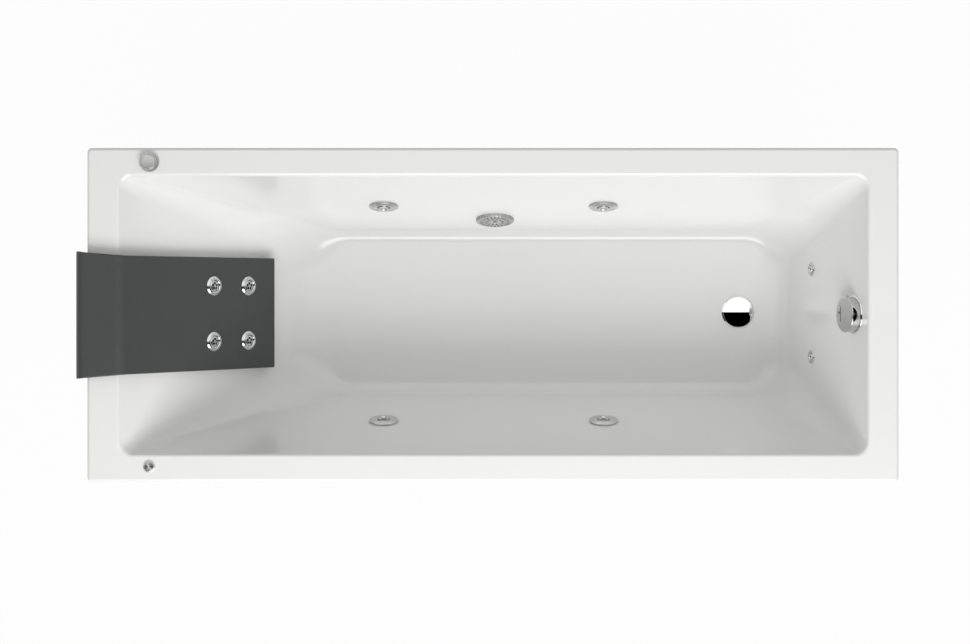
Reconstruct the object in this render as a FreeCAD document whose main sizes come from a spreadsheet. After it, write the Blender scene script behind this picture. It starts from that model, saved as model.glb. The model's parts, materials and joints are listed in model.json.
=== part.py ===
import FreeCAD
import Part
import Sketcher
import math
import os

# Jetted bathtub, millimetres. +X runs from the head end (back pad) to the foot end (waste),
# +Z is up, and the origin lies on the ground under the middle of the whole object.

SIZES = {
    # rim and bowl, as moulded in acrylic
    "rim_length": 1700,
    "rim_width": 700,
    "rim_height": 570,
    "rim_drop": 32,
    "rim_corner": 10,
    "rim_edge_round": 4,
    "shell_wall": 5,
    "head_ledge": 65.5,
    "foot_ledge": 63.5,
    "side_ledge": 58,
    "opening_corner": 28,
    "lip_roll": 9,
    "bowl_depth": 410,
    "backrest_run": 346,
    "foot_run": 110,
    "side_run": 107,
    "head_floor_round": 140,
    "foot_floor_round": 60,
    "side_floor_round": 28,
    "head_floor_corner": 110,
    "foot_floor_corner": 90,
    # clearances
    "running_gap": 0.3,
    "thread_gap": 0.3,
    # side jets: two in each side wall
    "side_jet_depth": 205,
    "side_jet_head_x": -241.5,
    "side_jet_foot_x": 245,
    "jet_hole_radius": 26,
    "jet_flange_radius": 29,
    "jet_flange_thick": 2,
    "jet_bore_radius": 20,
    "jet_bore_depth": 20,
    "jet_chamber_radius": 23,
    "jet_chamber_top": 24,
    "jet_chamber_end": 82,
    "jet_water_depth": 44,
    "jet_water_stub_radius": 19,
    "jet_water_stub_reach": 34,
    "jet_air_depth": 72,
    "jet_air_stub_radius": 9.5,
    "jet_air_stub_reach": 30,
    "jet_ring_radius": 32,
    "jet_ring_thick": 5,
    "jet_ring_dish": 1.2,
    "jet_ball_radius": 13.4,
    "jet_ball_reach": 10,
    "jet_nozzle_bore": 4.5,
    # gaskets and lock nuts behind the wall
    "gasket_thick": 3,
    "gasket_margin": 8,
    "nut_thick": 9,
    "nut_margin": 9,
    # back pad jets: two rows of two in the backrest
    "pad_jet_upper": 242,
    "pad_jet_lower": 342,
    "pad_jet_half_pitch": 61,
    "pad_jet_hole_radius": 15,
    "pad_jet_stem_radius": 14.7,
    "pad_jet_bore_radius": 12.3,
    "pad_jet_bore_depth": 14,
    "pad_jet_ring_radius": 22,
    "pad_jet_ring_thick": 4,
    "pad_jet_back": 48,
    "pad_jet_tube_depth": 38,
    "pad_jet_tube_radius": 8,
    "pad_jet_stub_reach": 20,
    "rotor_radius": 12,
    "rotor_thick": 9,
    "rotor_port_radius": 3,
    "rotor_port_pitch": 6,
    "rotor_crown": 1.5,
    # foot jets: two small ones in the foot wall
    "foot_jet_depth": 260,
    "foot_jet_half_pitch": 98.5,
    "foot_jet_hole_radius": 11,
    "foot_jet_flange_radius": 15,
    "foot_jet_flange_thick": 3,
    "foot_jet_bore_radius": 8.5,
    "foot_jet_back": 44,
    "foot_jet_water_depth": 32,
    "foot_jet_stub_radius": 12,
    "foot_jet_stub_reach": 19,
    "foot_nozzle_radius": 8,
    "foot_nozzle_reach": 5,
    "foot_nozzle_bore": 2.5,
    # suction fitting in the +Y side wall
    "suction_x": 5,
    "suction_depth": 300,
    "suction_hole_radius": 30,
    "suction_flange_radius": 40,
    "suction_flange_thick": 3,
    "suction_bore_radius": 25,
    "suction_bore_depth": 38,
    "suction_back": 76,
    "suction_chamber_radius": 29,
    "suction_pipe_depth": 52,
    "suction_pipe_radius": 25,
    "suction_stub_radius": 28,
    "suction_stub_reach": 40,
    "grille_radius": 42.5,
    "grille_thick": 6,
    "grille_wall": 2.5,
    "grille_slot_width": 4,
    "grille_slot_inner": 13,
    "grille_slot_outer": 35,
    "grille_slot_count": 16,
    "grille_screw_radius": 4.5,
    # waste in the floor
    "drain_inset": 103,
    "drain_flange_radius": 38,
    "drain_flange_thick": 2.5,
    "drain_hole_radius": 27,
    "drain_bore_radius": 22,
    "plug_cover_radius": 35,
    "plug_cover_thick": 4,
    "plug_stem_radius": 5,
    "plug_travel": 12,
    "seal_thick": 3,
    "trap_radius": 32,
    "trap_top_gap": 3,
    "trap_depth": 103,
    "trap_outlet_radius": 20,
    "trap_outlet_drop": 73,
    "trap_outlet_reach": 92,
    "trap_outlet_length": 54,
    "trap_collar": 5,
    "trap_inlet_drop": 37,
    "trap_inlet_radius": 17,
    "trap_inlet_reach": 50,
    # overflow in the foot wall, whose knob lifts the waste plug
    "overflow_depth": 66,
    "overflow_hole_radius": 24,
    "overflow_plate_radius": 41,
    "overflow_plate_thick": 3,
    "overflow_knob_radius": 38,
    "overflow_knob_thick": 17,
    "overflow_knob_gap": 2,
    "overflow_spindle_radius": 6,
    "overflow_elbow_back": 48,
    "overflow_pipe_radius": 14,
    "cable_radius": 3,
    "cable_offset": 22,
    "cable_lead": 30,
    # air control and start button in the rim at the head end
    "control_inset": 131,
    "air_control_inset": 30,
    "control_well": 14,
    "control_spindle": 12,
    "air_body_radius": 16,
    "air_body_depth": 62,
    "air_spigot_length": 18,
    "air_flange_radius": 21,
    "air_flange_thick": 3,
    "air_knob_radius": 19.5,
    "air_knob_top_radius": 14,
    "air_knob_thick": 20,
    "air_knob_rib_count": 24,
    "air_knob_rib_depth": 0.8,
    "button_inset": 33,
    "button_bezel_radius": 12,
    "button_bezel_thick": 3,
    "button_body_radius": 10,
    "button_body_depth": 48,
    "button_radius": 9,
    "button_thick": 8,
    "button_rise": 4.2,
    # back pad, hooked over the head rim
    "pad_thick": 22,
    "pad_overhang": 16.5,
    "pad_hook_depth": 24,
    "pad_hook_round": 20,
    "pad_slope_length": 416,
    "pad_half_width": 124,
    "pad_flare_half_width": 133.5,
    # base board and support frame
    "board_thick": 18,
    "board_head_inset": 88.5,
    "board_drain_gap": 68.5,
    "board_side_inset": 20,
    "tube_side": 30,
    "rail_side_inset": 35,
    "rail_end_inset": 60,
    "head_bar_inset": 210,
    "foot_bar_inset": 90,
    "upright_inset": 18,
    "upright_width": 20,
    "batten_width": 30,
    "batten_thick": 18,
    "foot_inset": 65,
    "foot_pad_radius": 25,
    "foot_pad_thick": 10,
    "foot_stud_radius": 6,
    "foot_nut_radius": 11,
    "foot_nut_thick": 8,
    # pump at the head end, its shaft along Y
    "pump_inset": 160,
    "pump_board_thick": 12,
    "pump_board_half_length": 95,
    "pump_axis_rise": 74,
    "motor_radius": 55,
    "motor_length": 150,
    "motor_fin_count": 12,
    "motor_fin_height": 6,
    "motor_fin_width": 4,
    "volute_radius": 62,
    "volute_length": 60,
    "volute_wall": 6,
    "volute_inset": 255,
    "pump_inlet_radius": 28,
    "pump_inlet_reach": 28,
    "pump_outlet_offset": 38,
    "pump_outlet_radius": 19,
    "pump_outlet_top": 84,
    "shaft_radius": 8,
    "impeller_radius": 48,
    "impeller_length": 22,
    "fan_radius": 46,
    "fan_length": 14,
    "fan_cover_length": 34,
    "fan_cover_wall": 2.5,
    "terminal_inset": 30,
    "terminal_length": 80,
    "gland_radius": 9,
    "gland_bore": 4,
    "gland_length": 14,
    # pipes and hoses
    "elbow_wall": 2,
    "tee_wall": 3,
    "water_pipe_radius": 16,
    "water_tee_reach": 24,
    "pad_tee_reach": 16,
    "air_tee_reach": 14,
    "water_bend": 45,
    "foot_pipe_radius": 10,
    "foot_pipe_bend": 40,
    "foot_pipe_lead": 60,
    "air_pipe_radius": 8,
    "air_bend": 35,
    "air_main_inset": 78,
    "air_drop_lead": 60,
    "air_drop_step": 40,
    "suction_bend": 48,
    "suction_lead": 60,
    "overflow_bend": 60,
    "switch_tube_radius": 3,
    "switch_tube_bend": 30,
    "switch_tube_drop": 110,
    "switch_tube_step": 15,
    "switch_tube_inset": 117,
    "switch_tube_rise": 45,
}

doc = FreeCAD.newDocument("jetted_bathtub")
sheet = doc.addObject("Spreadsheet::Sheet", "Sizes")
for row, (alias, number) in enumerate(SIZES.items(), start=1):
    sheet.set(f"A{row}", alias)
    sheet.set(f"B{row}", str(number))
    sheet.setAlias(f"B{row}", alias)
doc.recompute()


class Size:
    """A number together with the sheet formula that gives it."""

    def __init__(self, value, text):
        self.value = float(value)
        self.text = text

    def __add__(self, other):
        other = as_size(other)
        return Size(self.value + other.value, f"({self.text} + {other.text})")

    def __radd__(self, other):
        return as_size(other) + self

    def __sub__(self, other):
        other = as_size(other)
        return Size(self.value - other.value, f"({self.text} - {other.text})")

    def __rsub__(self, other):
        return as_size(other) - self

    def __mul__(self, other):
        other = as_size(other)
        return Size(self.value * other.value, f"({self.text} * {other.text})")

    def __rmul__(self, other):
        return as_size(other) * self

    def __truediv__(self, other):
        other = as_size(other)
        return Size(self.value / other.value, f"({self.text} / {other.text})")

    def __neg__(self):
        return Size(-self.value, f"(0 - {self.text})")


class Sheet:
    """Gives each named size as an attribute."""

    def __getattr__(self, alias):
        return Size(SIZES[alias], f"Sizes.{alias}")


d = Sheet()
ZERO = Size(0, "0")
vector = FreeCAD.Vector
UP = vector(0, 0, 1)
ALONG_X = vector(1, 0, 0)
ALONG_Y = vector(0, 1, 0)
sub_parts = []


def as_size(number):
    """Turns a plain number into a Size."""
    return number if isinstance(number, Size) else Size(number, f"({number})")


def root(size):
    """The square root of a Size."""
    return Size(math.sqrt(size.value), f"sqrt({size.text})")


def larger(first, second):
    """The larger of two Sizes."""
    return first if first.value > second.value else second


# ---------------------------------------------------------------- sketches and features


def new_body(label):
    body = doc.addObject("PartDesign::Body", label)
    body.Label = label
    return body


def new_sketch(body, plane, name, lift=None):
    """A sketch on one of the body's own origin planes, raised along the plane's normal by lift."""
    sketch = body.newObject("Sketcher::SketchObject", name)
    support = [p for p in body.Origin.OriginFeatures if p.Role == plane][0]
    sketch.AttachmentSupport = [(support, "")]
    sketch.MapMode = "FlatFace"
    if lift is not None:
        sketch.AttachmentOffset = FreeCAD.Placement(vector(0, 0, lift.value), FreeCAD.Rotation())
        sketch.setExpression("AttachmentOffset.Base.z", lift.text)
    return sketch


def tie(sketch, kind, edge, end, size):
    """Ties one end of an edge to its distance from the sketch origin."""
    size = as_size(size)
    if size.value < 0:
        constraint = Sketcher.Constraint(kind, edge, end, -1, 1, -size.value)
        size = -size
    else:
        constraint = Sketcher.Constraint(kind, -1, 1, edge, end, size.value)
    index = sketch.addConstraint(constraint)
    if "Sizes" in size.text:
        sketch.setExpression(f"Constraints[{index}]", size.text)


def polygon(sketch, corners):
    """A closed outline of straight lines through corners given as pairs of sizes."""
    corners = [(as_size(x), as_size(y)) for x, y in corners]
    first = sketch.GeometryCount
    for i, (x, y) in enumerate(corners):
        next_x, next_y = corners[(i + 1) % len(corners)]
        start = vector(x.value, y.value, 0)
        end = vector(next_x.value, next_y.value, 0)
        sketch.addGeometry(Part.LineSegment(start, end))
    for i in range(len(corners)):
        after = first + (i + 1) % len(corners)
        sketch.addConstraint(Sketcher.Constraint("Coincident", first + i, 2, after, 1))
    for i, (x, y) in enumerate(corners):
        tie(sketch, "DistanceX", first + i, 1, x)
        tie(sketch, "DistanceY", first + i, 1, y)


def circle(sketch, x, y, radius):
    """A full circle about (x, y)."""
    x, y = as_size(x), as_size(y)
    edge = sketch.addGeometry(Part.Circle(vector(x.value, y.value, 0), UP, radius.value))
    tie(sketch, "DistanceX", edge, 3, x)
    tie(sketch, "DistanceY", edge, 3, y)
    index = sketch.addConstraint(Sketcher.Constraint("Radius", edge, radius.value))
    sketch.setExpression(f"Constraints[{index}]", radius.text)


def arc_edge(sketch, start, end, centre, radius):
    """An arc of under a half circle, tied at both ends and by its radius."""
    first, last, middle = (vector(p[0].value, p[1].value, 0) for p in (start, end, centre))
    if (first - middle).cross(last - middle).z < 0:
        start, end, first, last = end, start, last, first
    crest = middle + ((first + last) / 2 - middle).normalize() * radius.value
    edge = sketch.addGeometry(Part.Arc(first, crest, last))
    for index, point in ((1, start), (2, end)):
        tie(sketch, "DistanceX", edge, index, point[0])
        tie(sketch, "DistanceY", edge, index, point[1])
    constraint = sketch.addConstraint(Sketcher.Constraint("Radius", edge, radius.value))
    sketch.setExpression(f"Constraints[{constraint}]", radius.text)


def straight(sketch, start, end):
    """A line tied at both ends."""
    start = (as_size(start[0]), as_size(start[1]))
    end = (as_size(end[0]), as_size(end[1]))
    first = vector(start[0].value, start[1].value, 0)
    last = vector(end[0].value, end[1].value, 0)
    edge = sketch.addGeometry(Part.LineSegment(first, last))
    for index, point in ((1, start), (2, end)):
        tie(sketch, "DistanceX", edge, index, point[0])
        tie(sketch, "DistanceY", edge, index, point[1])


def rounded_rectangle(sketch, left, right, bottom, top, left_round, right_round):
    """A rectangle with rounded corners, whose left and right pairs may differ in radius."""
    x0, x1, y0, y1 = left.value, right.value, bottom.value, top.value
    a, b = left_round.value, right_round.value
    corners = [
        (x1 - b, y0, x1, y0 + b, x1 - b, y0 + b, -math.pi / 2, right_round),
        (x1, y1 - b, x1 - b, y1, x1 - b, y1 - b, 0, right_round),
        (x0 + a, y1, x0, y1 - a, x0 + a, y1 - a, math.pi / 2, left_round),
        (x0, y0 + a, x0 + a, y0, x0 + a, y0 + a, math.pi, left_round),
    ]
    lines, arcs = [], []
    for i, (sx, sy, ex, ey, cx, cy, turn, radius) in enumerate(corners):
        before = corners[i - 1]
        lines.append(
            sketch.addGeometry(Part.LineSegment(vector(before[2], before[3], 0), vector(sx, sy, 0)))
        )
        round_edge = Part.Circle(vector(cx, cy, 0), UP, radius.value)
        arcs.append(sketch.addGeometry(Part.ArcOfCircle(round_edge, turn, turn + math.pi / 2)))
    for i, radius in enumerate([right_round, right_round, left_round, left_round]):
        sketch.addConstraint(Sketcher.Constraint("Tangent", lines[i], 2, arcs[i], 1))
        sketch.addConstraint(Sketcher.Constraint("Tangent", arcs[i], 2, lines[(i + 1) % 4], 1))
        index = sketch.addConstraint(Sketcher.Constraint("Radius", arcs[i], radius.value))
        sketch.setExpression(f"Constraints[{index}]", radius.text)
    for i, direction in enumerate(["Horizontal", "Vertical", "Horizontal", "Vertical"]):
        sketch.addConstraint(Sketcher.Constraint(direction, lines[i]))
    tie(sketch, "DistanceY", lines[0], 1, bottom)
    tie(sketch, "DistanceX", lines[1], 1, right)
    tie(sketch, "DistanceY", lines[2], 1, top)
    tie(sketch, "DistanceX", lines[3], 1, left)


def pad(body, sketch, length, both_ways=False, reverse=False, kind="Pad"):
    """Pads or pockets a sketch by a length."""
    feature = body.newObject(f"PartDesign::{kind}", f"{body.Label}_{kind}")
    feature.Profile = sketch
    feature.Length = length.value
    feature.setExpression("Length", length.text)
    feature.Midplane = both_ways
    feature.Reversed = reverse
    return feature


def place(thing, at, facing=UP, across=ALONG_X):
    """Puts a sub-part's own origin at a point, its Z along facing and its X near across."""
    side = vector(0, 0, 0)
    thing.Placement = FreeCAD.Placement(at, FreeCAD.Rotation(across, side, facing, "ZXY"))


def turned(label, outline, at=vector(0, 0, 0), facing=UP, across=ALONG_X):
    """A body turned about its own Z from an outline of (radius, height) pairs."""
    body = new_body(label)
    sketch = new_sketch(body, "XZ_Plane", f"{label}_outline")
    polygon(sketch, outline)
    spin = body.newObject("PartDesign::Revolution", f"{label}_Revolution")
    spin.Profile = sketch
    spin.ReferenceAxis = (sketch, ["V_Axis"])
    spin.Angle = 360
    place(body, at, facing, across)
    return body


def crossbar(body, height, radius, reach, both_ways=True):
    """A round stub across a body along its own X, centred or one way."""
    sketch = new_sketch(body, "YZ_Plane", f"{body.Label}_stub")
    circle(sketch, ZERO, height, radius)
    return pad(body, sketch, reach * 2 if both_ways else reach, both_ways)


def box(label, low, high):
    """A block between two corners given in sizes."""
    block = doc.addObject("Part::Box", label)
    block.Label = label
    for name, axis, a, b in zip(("Length", "Width", "Height"), "xyz", low, high):
        a, b = as_size(a), as_size(b)
        setattr(block, name, (b - a).value)
        block.setExpression(name, (b - a).text)
        block.setExpression(f"Placement.Base.{axis}", a.text)
    return block


def rod(label, start, direction, length, radius):
    """A cylinder from a point along a direction."""
    piece = doc.addObject("Part::Cylinder", label)
    piece.Label = label
    piece.Radius = radius.value
    piece.setExpression("Radius", radius.text)
    piece.Height = length
    place(piece, start, direction, ALONG_Y if abs(direction.x) > 0.9 else ALONG_X)
    return piece


def joined(label, pieces):
    """Several objects fused into one solid."""
    union = doc.addObject("Part::MultiFuse", label)
    union.Label = label
    union.Shapes = pieces
    return union


def less(label, base, tools):
    """A solid with tools cut out of it."""
    tool = tools[0]
    if len(tools) > 1:
        tool = doc.addObject("Part::Compound", f"{label}_holes")
        tool.Links = tools
    result = doc.addObject("Part::Cut", label)
    result.Label = label
    result.Base = base
    result.Tool = tool
    return result


def copies(label, master, spots):
    """Separate solids of one shape, one at each spot, as one sub-part."""
    links = []
    for i, spot in enumerate(spots, start=1):
        link = doc.addObject("App::Link", f"{label}_{i}")
        link.LinkedObject = master
        place(link, spot.at, spot.inward, spot.across)
        links.append(link)
    group = doc.addObject("Part::Compound", label)
    group.Label = label
    group.Links = links
    return group


def rounded_corners(points, radius, bend):
    """The start, centre, radius and end of the bend at each inner point of a route.

    A slight turn gets a larger radius, so that no bend is shorter than the tube's own radius, and
    a bend takes up at most 0.45 of the shorter run beside it.
    """
    bends = []
    for before, corner, after in zip(points, points[1:], points[2:]):
        inward = (before - corner).normalize()
        outward = (after - corner).normalize()
        half_turn = (math.pi - inward.getAngle(outward)) / 2
        shorter = min((before - corner).Length, (after - corner).Length)
        least = max(bend.value, radius.value / (2 * half_turn))
        bend_radius = min(least, 0.45 * shorter / math.tan(half_turn))
        setback = bend_radius * math.tan(half_turn)
        centre = corner + (inward + outward).normalize() * (bend_radius / math.cos(half_turn))
        bends.append((corner + inward * setback, centre, bend_radius, corner + outward * setback))
    return bends


def hose(label, points, radius, bend):
    """A bendy tube in one piece, swept along straight runs joined by tangent arcs."""
    edges = []
    previous = points[0]
    bends = rounded_corners(points, radius, bend)
    for corner, (start, centre, bend_radius, end) in zip(points[1:], bends):
        middle = centre + (corner - centre).normalize() * bend_radius
        edges.append(Part.LineSegment(previous, start).toShape())
        edges.append(Part.Arc(start, middle, end).toShape())
        previous = end
    edges.append(Part.LineSegment(previous, points[-1]).toShape())
    route = doc.addObject("Part::Feature", f"{label}_route")
    route.Shape = Part.Wire(edges)
    section = doc.addObject("Part::Circle", f"{label}_section")
    section.Radius = radius.value
    section.setExpression("Radius", radius.text)
    heading = (points[1] - points[0]).normalize()
    place(section, points[0], heading, ALONG_Y if abs(heading.x) > 0.9 else ALONG_X)
    sweep = doc.addObject("Part::Sweep", label)
    sweep.Label = label
    sweep.Sections = [section]
    sweep.Spine = (route, [f"Edge{i + 1}" for i in range(len(edges))])
    sweep.Solid = True
    sweep.Frenet = False
    doc.recompute()
    expected = math.pi * radius.value ** 2 * route.Shape.Length
    least = min(bend_radius for _, _, bend_radius, _ in bends)
    print(f"{label}: least bend {least:.1f}, volume over section x length "
          f"{sweep.Shape.Volume / expected:.4f}")
    return sweep


def pipe(label, points, radius, bend):
    """Straight lengths of rigid pipe with an elbow at each corner, set face to face."""
    pieces = []
    previous = points[0]
    elbow_radius = radius.value + d.elbow_wall.value
    for i, (start, centre, bend_radius, end) in enumerate(rounded_corners(points, radius, bend)):
        run = start - previous
        pieces.append(rod(f"{label}_length_{i}", previous, run, run.Length, radius))
        mouth = Part.Face(Part.Wire(Part.Circle(start, run, elbow_radius).toShape()))
        axis = (start - centre).cross(end - centre)
        turn = (start - centre).getAngle(end - centre)
        elbow = doc.addObject("Part::Feature", f"{label}_elbow_{i}")
        elbow.Shape = mouth.revolve(centre, axis, math.degrees(turn))
        expected = math.pi * elbow_radius ** 2 * bend_radius * turn
        if abs(elbow.Shape.Volume / expected - 1) > 0.001:
            raise RuntimeError(f"{elbow.Label} isn't its section swept along its bend")
        pieces.append(elbow)
        previous = end
    run = points[-1] - previous
    pieces.append(rod(f"{label}_last_length", previous, run, run.Length, radius))
    return pieces


def tee(label, at, through, branches, radius, reach):
    """A pipe tee: a sleeve along one direction and a stub along each branch."""
    stub_radius = radius + d.elbow_wall / 2
    arms = [rod(f"{label}_sleeve", at - through * reach, through, 2 * reach, radius + d.tee_wall)]
    for i, branch in enumerate(branches):
        branch = vector(branch).normalize()
        length = radius.value + d.tee_wall.value + reach / 2
        arms.append(rod(f"{label}_branch_{i}", at, branch, length, stub_radius))
    return joined(label, arms)


def keep(*things):
    """Adds finished sub-parts to the list that is written out."""
    sub_parts.extend(things)


# ---------------------------------------------------------------- lines and places of the bowl

centre_x = d.pad_overhang / 2
rim_centre = centre_x.value
rim_top = d.rim_height.value
head_end = centre_x - d.rim_length / 2
foot_end = centre_x + d.rim_length / 2
side_end = d.rim_width / 2
head_edge = d.rim_length / 2 - d.head_ledge
foot_edge = d.rim_length / 2 - d.foot_ledge
side_edge = d.rim_width / 2 - d.side_ledge
floor_top = d.rim_height - d.bowl_depth
floor_under = floor_top - d.shell_wall
rail_top = floor_under - d.board_thick
rail_under = rail_top - d.tube_side
bar_under = rail_under - d.tube_side
control_x = head_end + d.control_inset
pump_x = head_end + d.pump_inset
volute_y = side_end - d.volute_inset
head_bar_x = head_end + d.head_bar_inset
foot_bar_x = foot_end - d.foot_bar_inset
upright_y = side_end - d.upright_inset
foot_y = side_end - d.foot_inset
board_half_width = side_edge - d.side_run - d.board_side_inset
rail_y = board_half_width - d.rail_side_inset
drain_x = centre_x + foot_edge - d.foot_run - d.drain_inset
trap_bottom = floor_under - d.trap_depth
trap_inlet_z = floor_under - d.trap_inlet_drop
trap_outlet_z = floor_under - d.trap_outlet_drop


def slant(run):
    """Length of a wall's slope from the rim plane to the floor plane."""
    return root(run * run + d.bowl_depth * d.bowl_depth)


def wall_reach(depth, edge, run, floor_round, skin):
    """How far a wall stands from the bowl's centre at a depth below the rim.

    The wall is straight, with a rolled lip at the rim and a round into the floor. skin is the
    thickness measured outwards from the inner face.
    """
    steep = slant(run) / d.bowl_depth
    straight = edge - run * depth / d.bowl_depth + skin * steep
    round_depth = d.bowl_depth - floor_round
    round_centre = edge - run * round_depth / d.bowl_depth - floor_round * steep
    round_radius = floor_round + skin
    round_start = round_depth + round_radius * run / slant(run)
    if depth.value >= round_start.value:
        below = depth - round_depth
        return round_centre + root(round_radius * round_radius - below * below + 0.0001)
    lip_end = d.lip_roll * (1 - run / slant(run))
    if skin.value == 0 and depth.value < lip_end.value:
        lip_centre = edge - run * d.lip_roll / d.bowl_depth + d.lip_roll * steep
        above = d.lip_roll - depth
        return lip_centre - root(d.lip_roll * d.lip_roll - above * above + 0.0001)
    return straight


def bowl_outline(body, name, depth, skin):
    """One level outline of the bowl at a depth below the rim."""
    head = wall_reach(depth, head_edge, d.backrest_run, d.head_floor_round, skin)
    foot = wall_reach(depth, foot_edge, d.foot_run, d.foot_floor_round, skin)
    side = wall_reach(depth, side_edge, d.side_run, d.side_floor_round, skin)
    share = depth / d.bowl_depth
    head_drawn = head_edge - d.backrest_run * share + skin - head
    foot_drawn = foot_edge - d.foot_run * share + skin - foot
    head_round = d.opening_corner + (d.head_floor_corner - d.opening_corner) * share
    foot_round = d.opening_corner + (d.foot_floor_corner - d.opening_corner) * share
    head_round = head_round + skin - larger(head_drawn, ZERO)
    foot_round = foot_round + skin - larger(foot_drawn, ZERO)
    sketch = new_sketch(body, "XY_Plane", name, d.rim_height - depth)
    rounded_rectangle(sketch, centre_x - head, centre_x + foot, -side, side, head_round, foot_round)
    return sketch


def loft(body, sketches, kind):
    """Joins level outlines by straight rulings."""
    feature = body.newObject(f"PartDesign::{kind}", f"{body.Label}_{kind}")
    feature.Profile = sketches[0]
    feature.Sections = sketches[1:]
    feature.Ruled = True
    return feature


class Spot:
    """A place on the bowl's inner face: the point, the way into the bath and a level direction."""

    def __init__(self, at, inward, across):
        self.at = at
        self.inward = inward
        self.across = across

    def out(self, depth, along=0.0):
        """The point this far behind the inner face, and along the wall."""
        depth, along = as_size(depth).value, as_size(along).value
        return self.at - self.inward * depth + self.across * along


def side_spot(x, depth, side):
    """A spot in a side wall; side is +1 for the +Y wall and -1 for the other."""
    length = slant(d.side_run).value
    lean_in, lean_up = d.bowl_depth.value / length, d.side_run.value / length
    y = side_edge.value - d.side_run.value * depth.value / d.bowl_depth.value
    at = vector(rim_centre + x.value, side * y, rim_top - depth.value)
    return Spot(at, vector(0, -side * lean_in, lean_up), ALONG_X)


def foot_spot(y, depth):
    """A spot in the foot wall."""
    length = slant(d.foot_run).value
    lean_in, lean_up = d.bowl_depth.value / length, d.foot_run.value / length
    x = foot_edge.value - d.foot_run.value * depth.value / d.bowl_depth.value
    at = vector(rim_centre + x, y, rim_top - depth.value)
    return Spot(at, vector(-lean_in, 0, lean_up), ALONG_Y)


def back_spot(y, down):
    """A spot in the backrest, this far down its slope from the rim."""
    length = slant(d.backrest_run).value
    run, fall = d.backrest_run.value / length, d.bowl_depth.value / length
    at = vector(rim_centre - head_edge.value + run * down, y, rim_top - fall * down)
    return Spot(at, vector(fall, 0, run), ALONG_Y)


side_jets = [
    side_spot(x, d.side_jet_depth, side)
    for side in (-1, 1)
    for x in (d.side_jet_head_x, d.side_jet_foot_x)
]
suction = side_spot(d.suction_x, d.suction_depth, 1)
foot_jets = [foot_spot(y * d.foot_jet_half_pitch.value, d.foot_jet_depth) for y in (-1, 1)]
pad_jets = [
    back_spot(y * d.pad_jet_half_pitch.value, down.value)
    for down in (d.pad_jet_upper, d.pad_jet_lower)
    for y in (-1, 1)
]
overflow = foot_spot(0, d.overflow_depth)
drain = Spot(vector(drain_x.value, 0, floor_top.value), UP, ALONG_X)
air_control_y = (side_end - d.air_control_inset).value
air_spot = Spot(vector(control_x.value, air_control_y, rim_top), UP, ALONG_X)
button_y = (d.button_inset - side_end).value
button_spot = Spot(vector(control_x.value, button_y, rim_top), UP, ALONG_X)


# ---------------------------------------------------------------- shell


def flat_walls(shape):
    """The same solid with each flat ruled wall as a true plane."""
    swaps = []
    for face in shape.Faces:
        if face.Surface.TypeId != "Part::GeomPlane" and face.findPlane(0.0001):
            plane = Part.makeFace(face.Wires, "Part::FaceMakerBullseye")
            u_low, u_high, v_low, v_high = face.ParameterRange
            outward = face.normalAt((u_low + u_high) / 2, (v_low + v_high) / 2)
            if plane.normalAt(0, 0).dot(outward) < 0:
                plane.reverse()
            swaps.append((face, plane))
    return shape.replaceShape(swaps)


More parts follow.
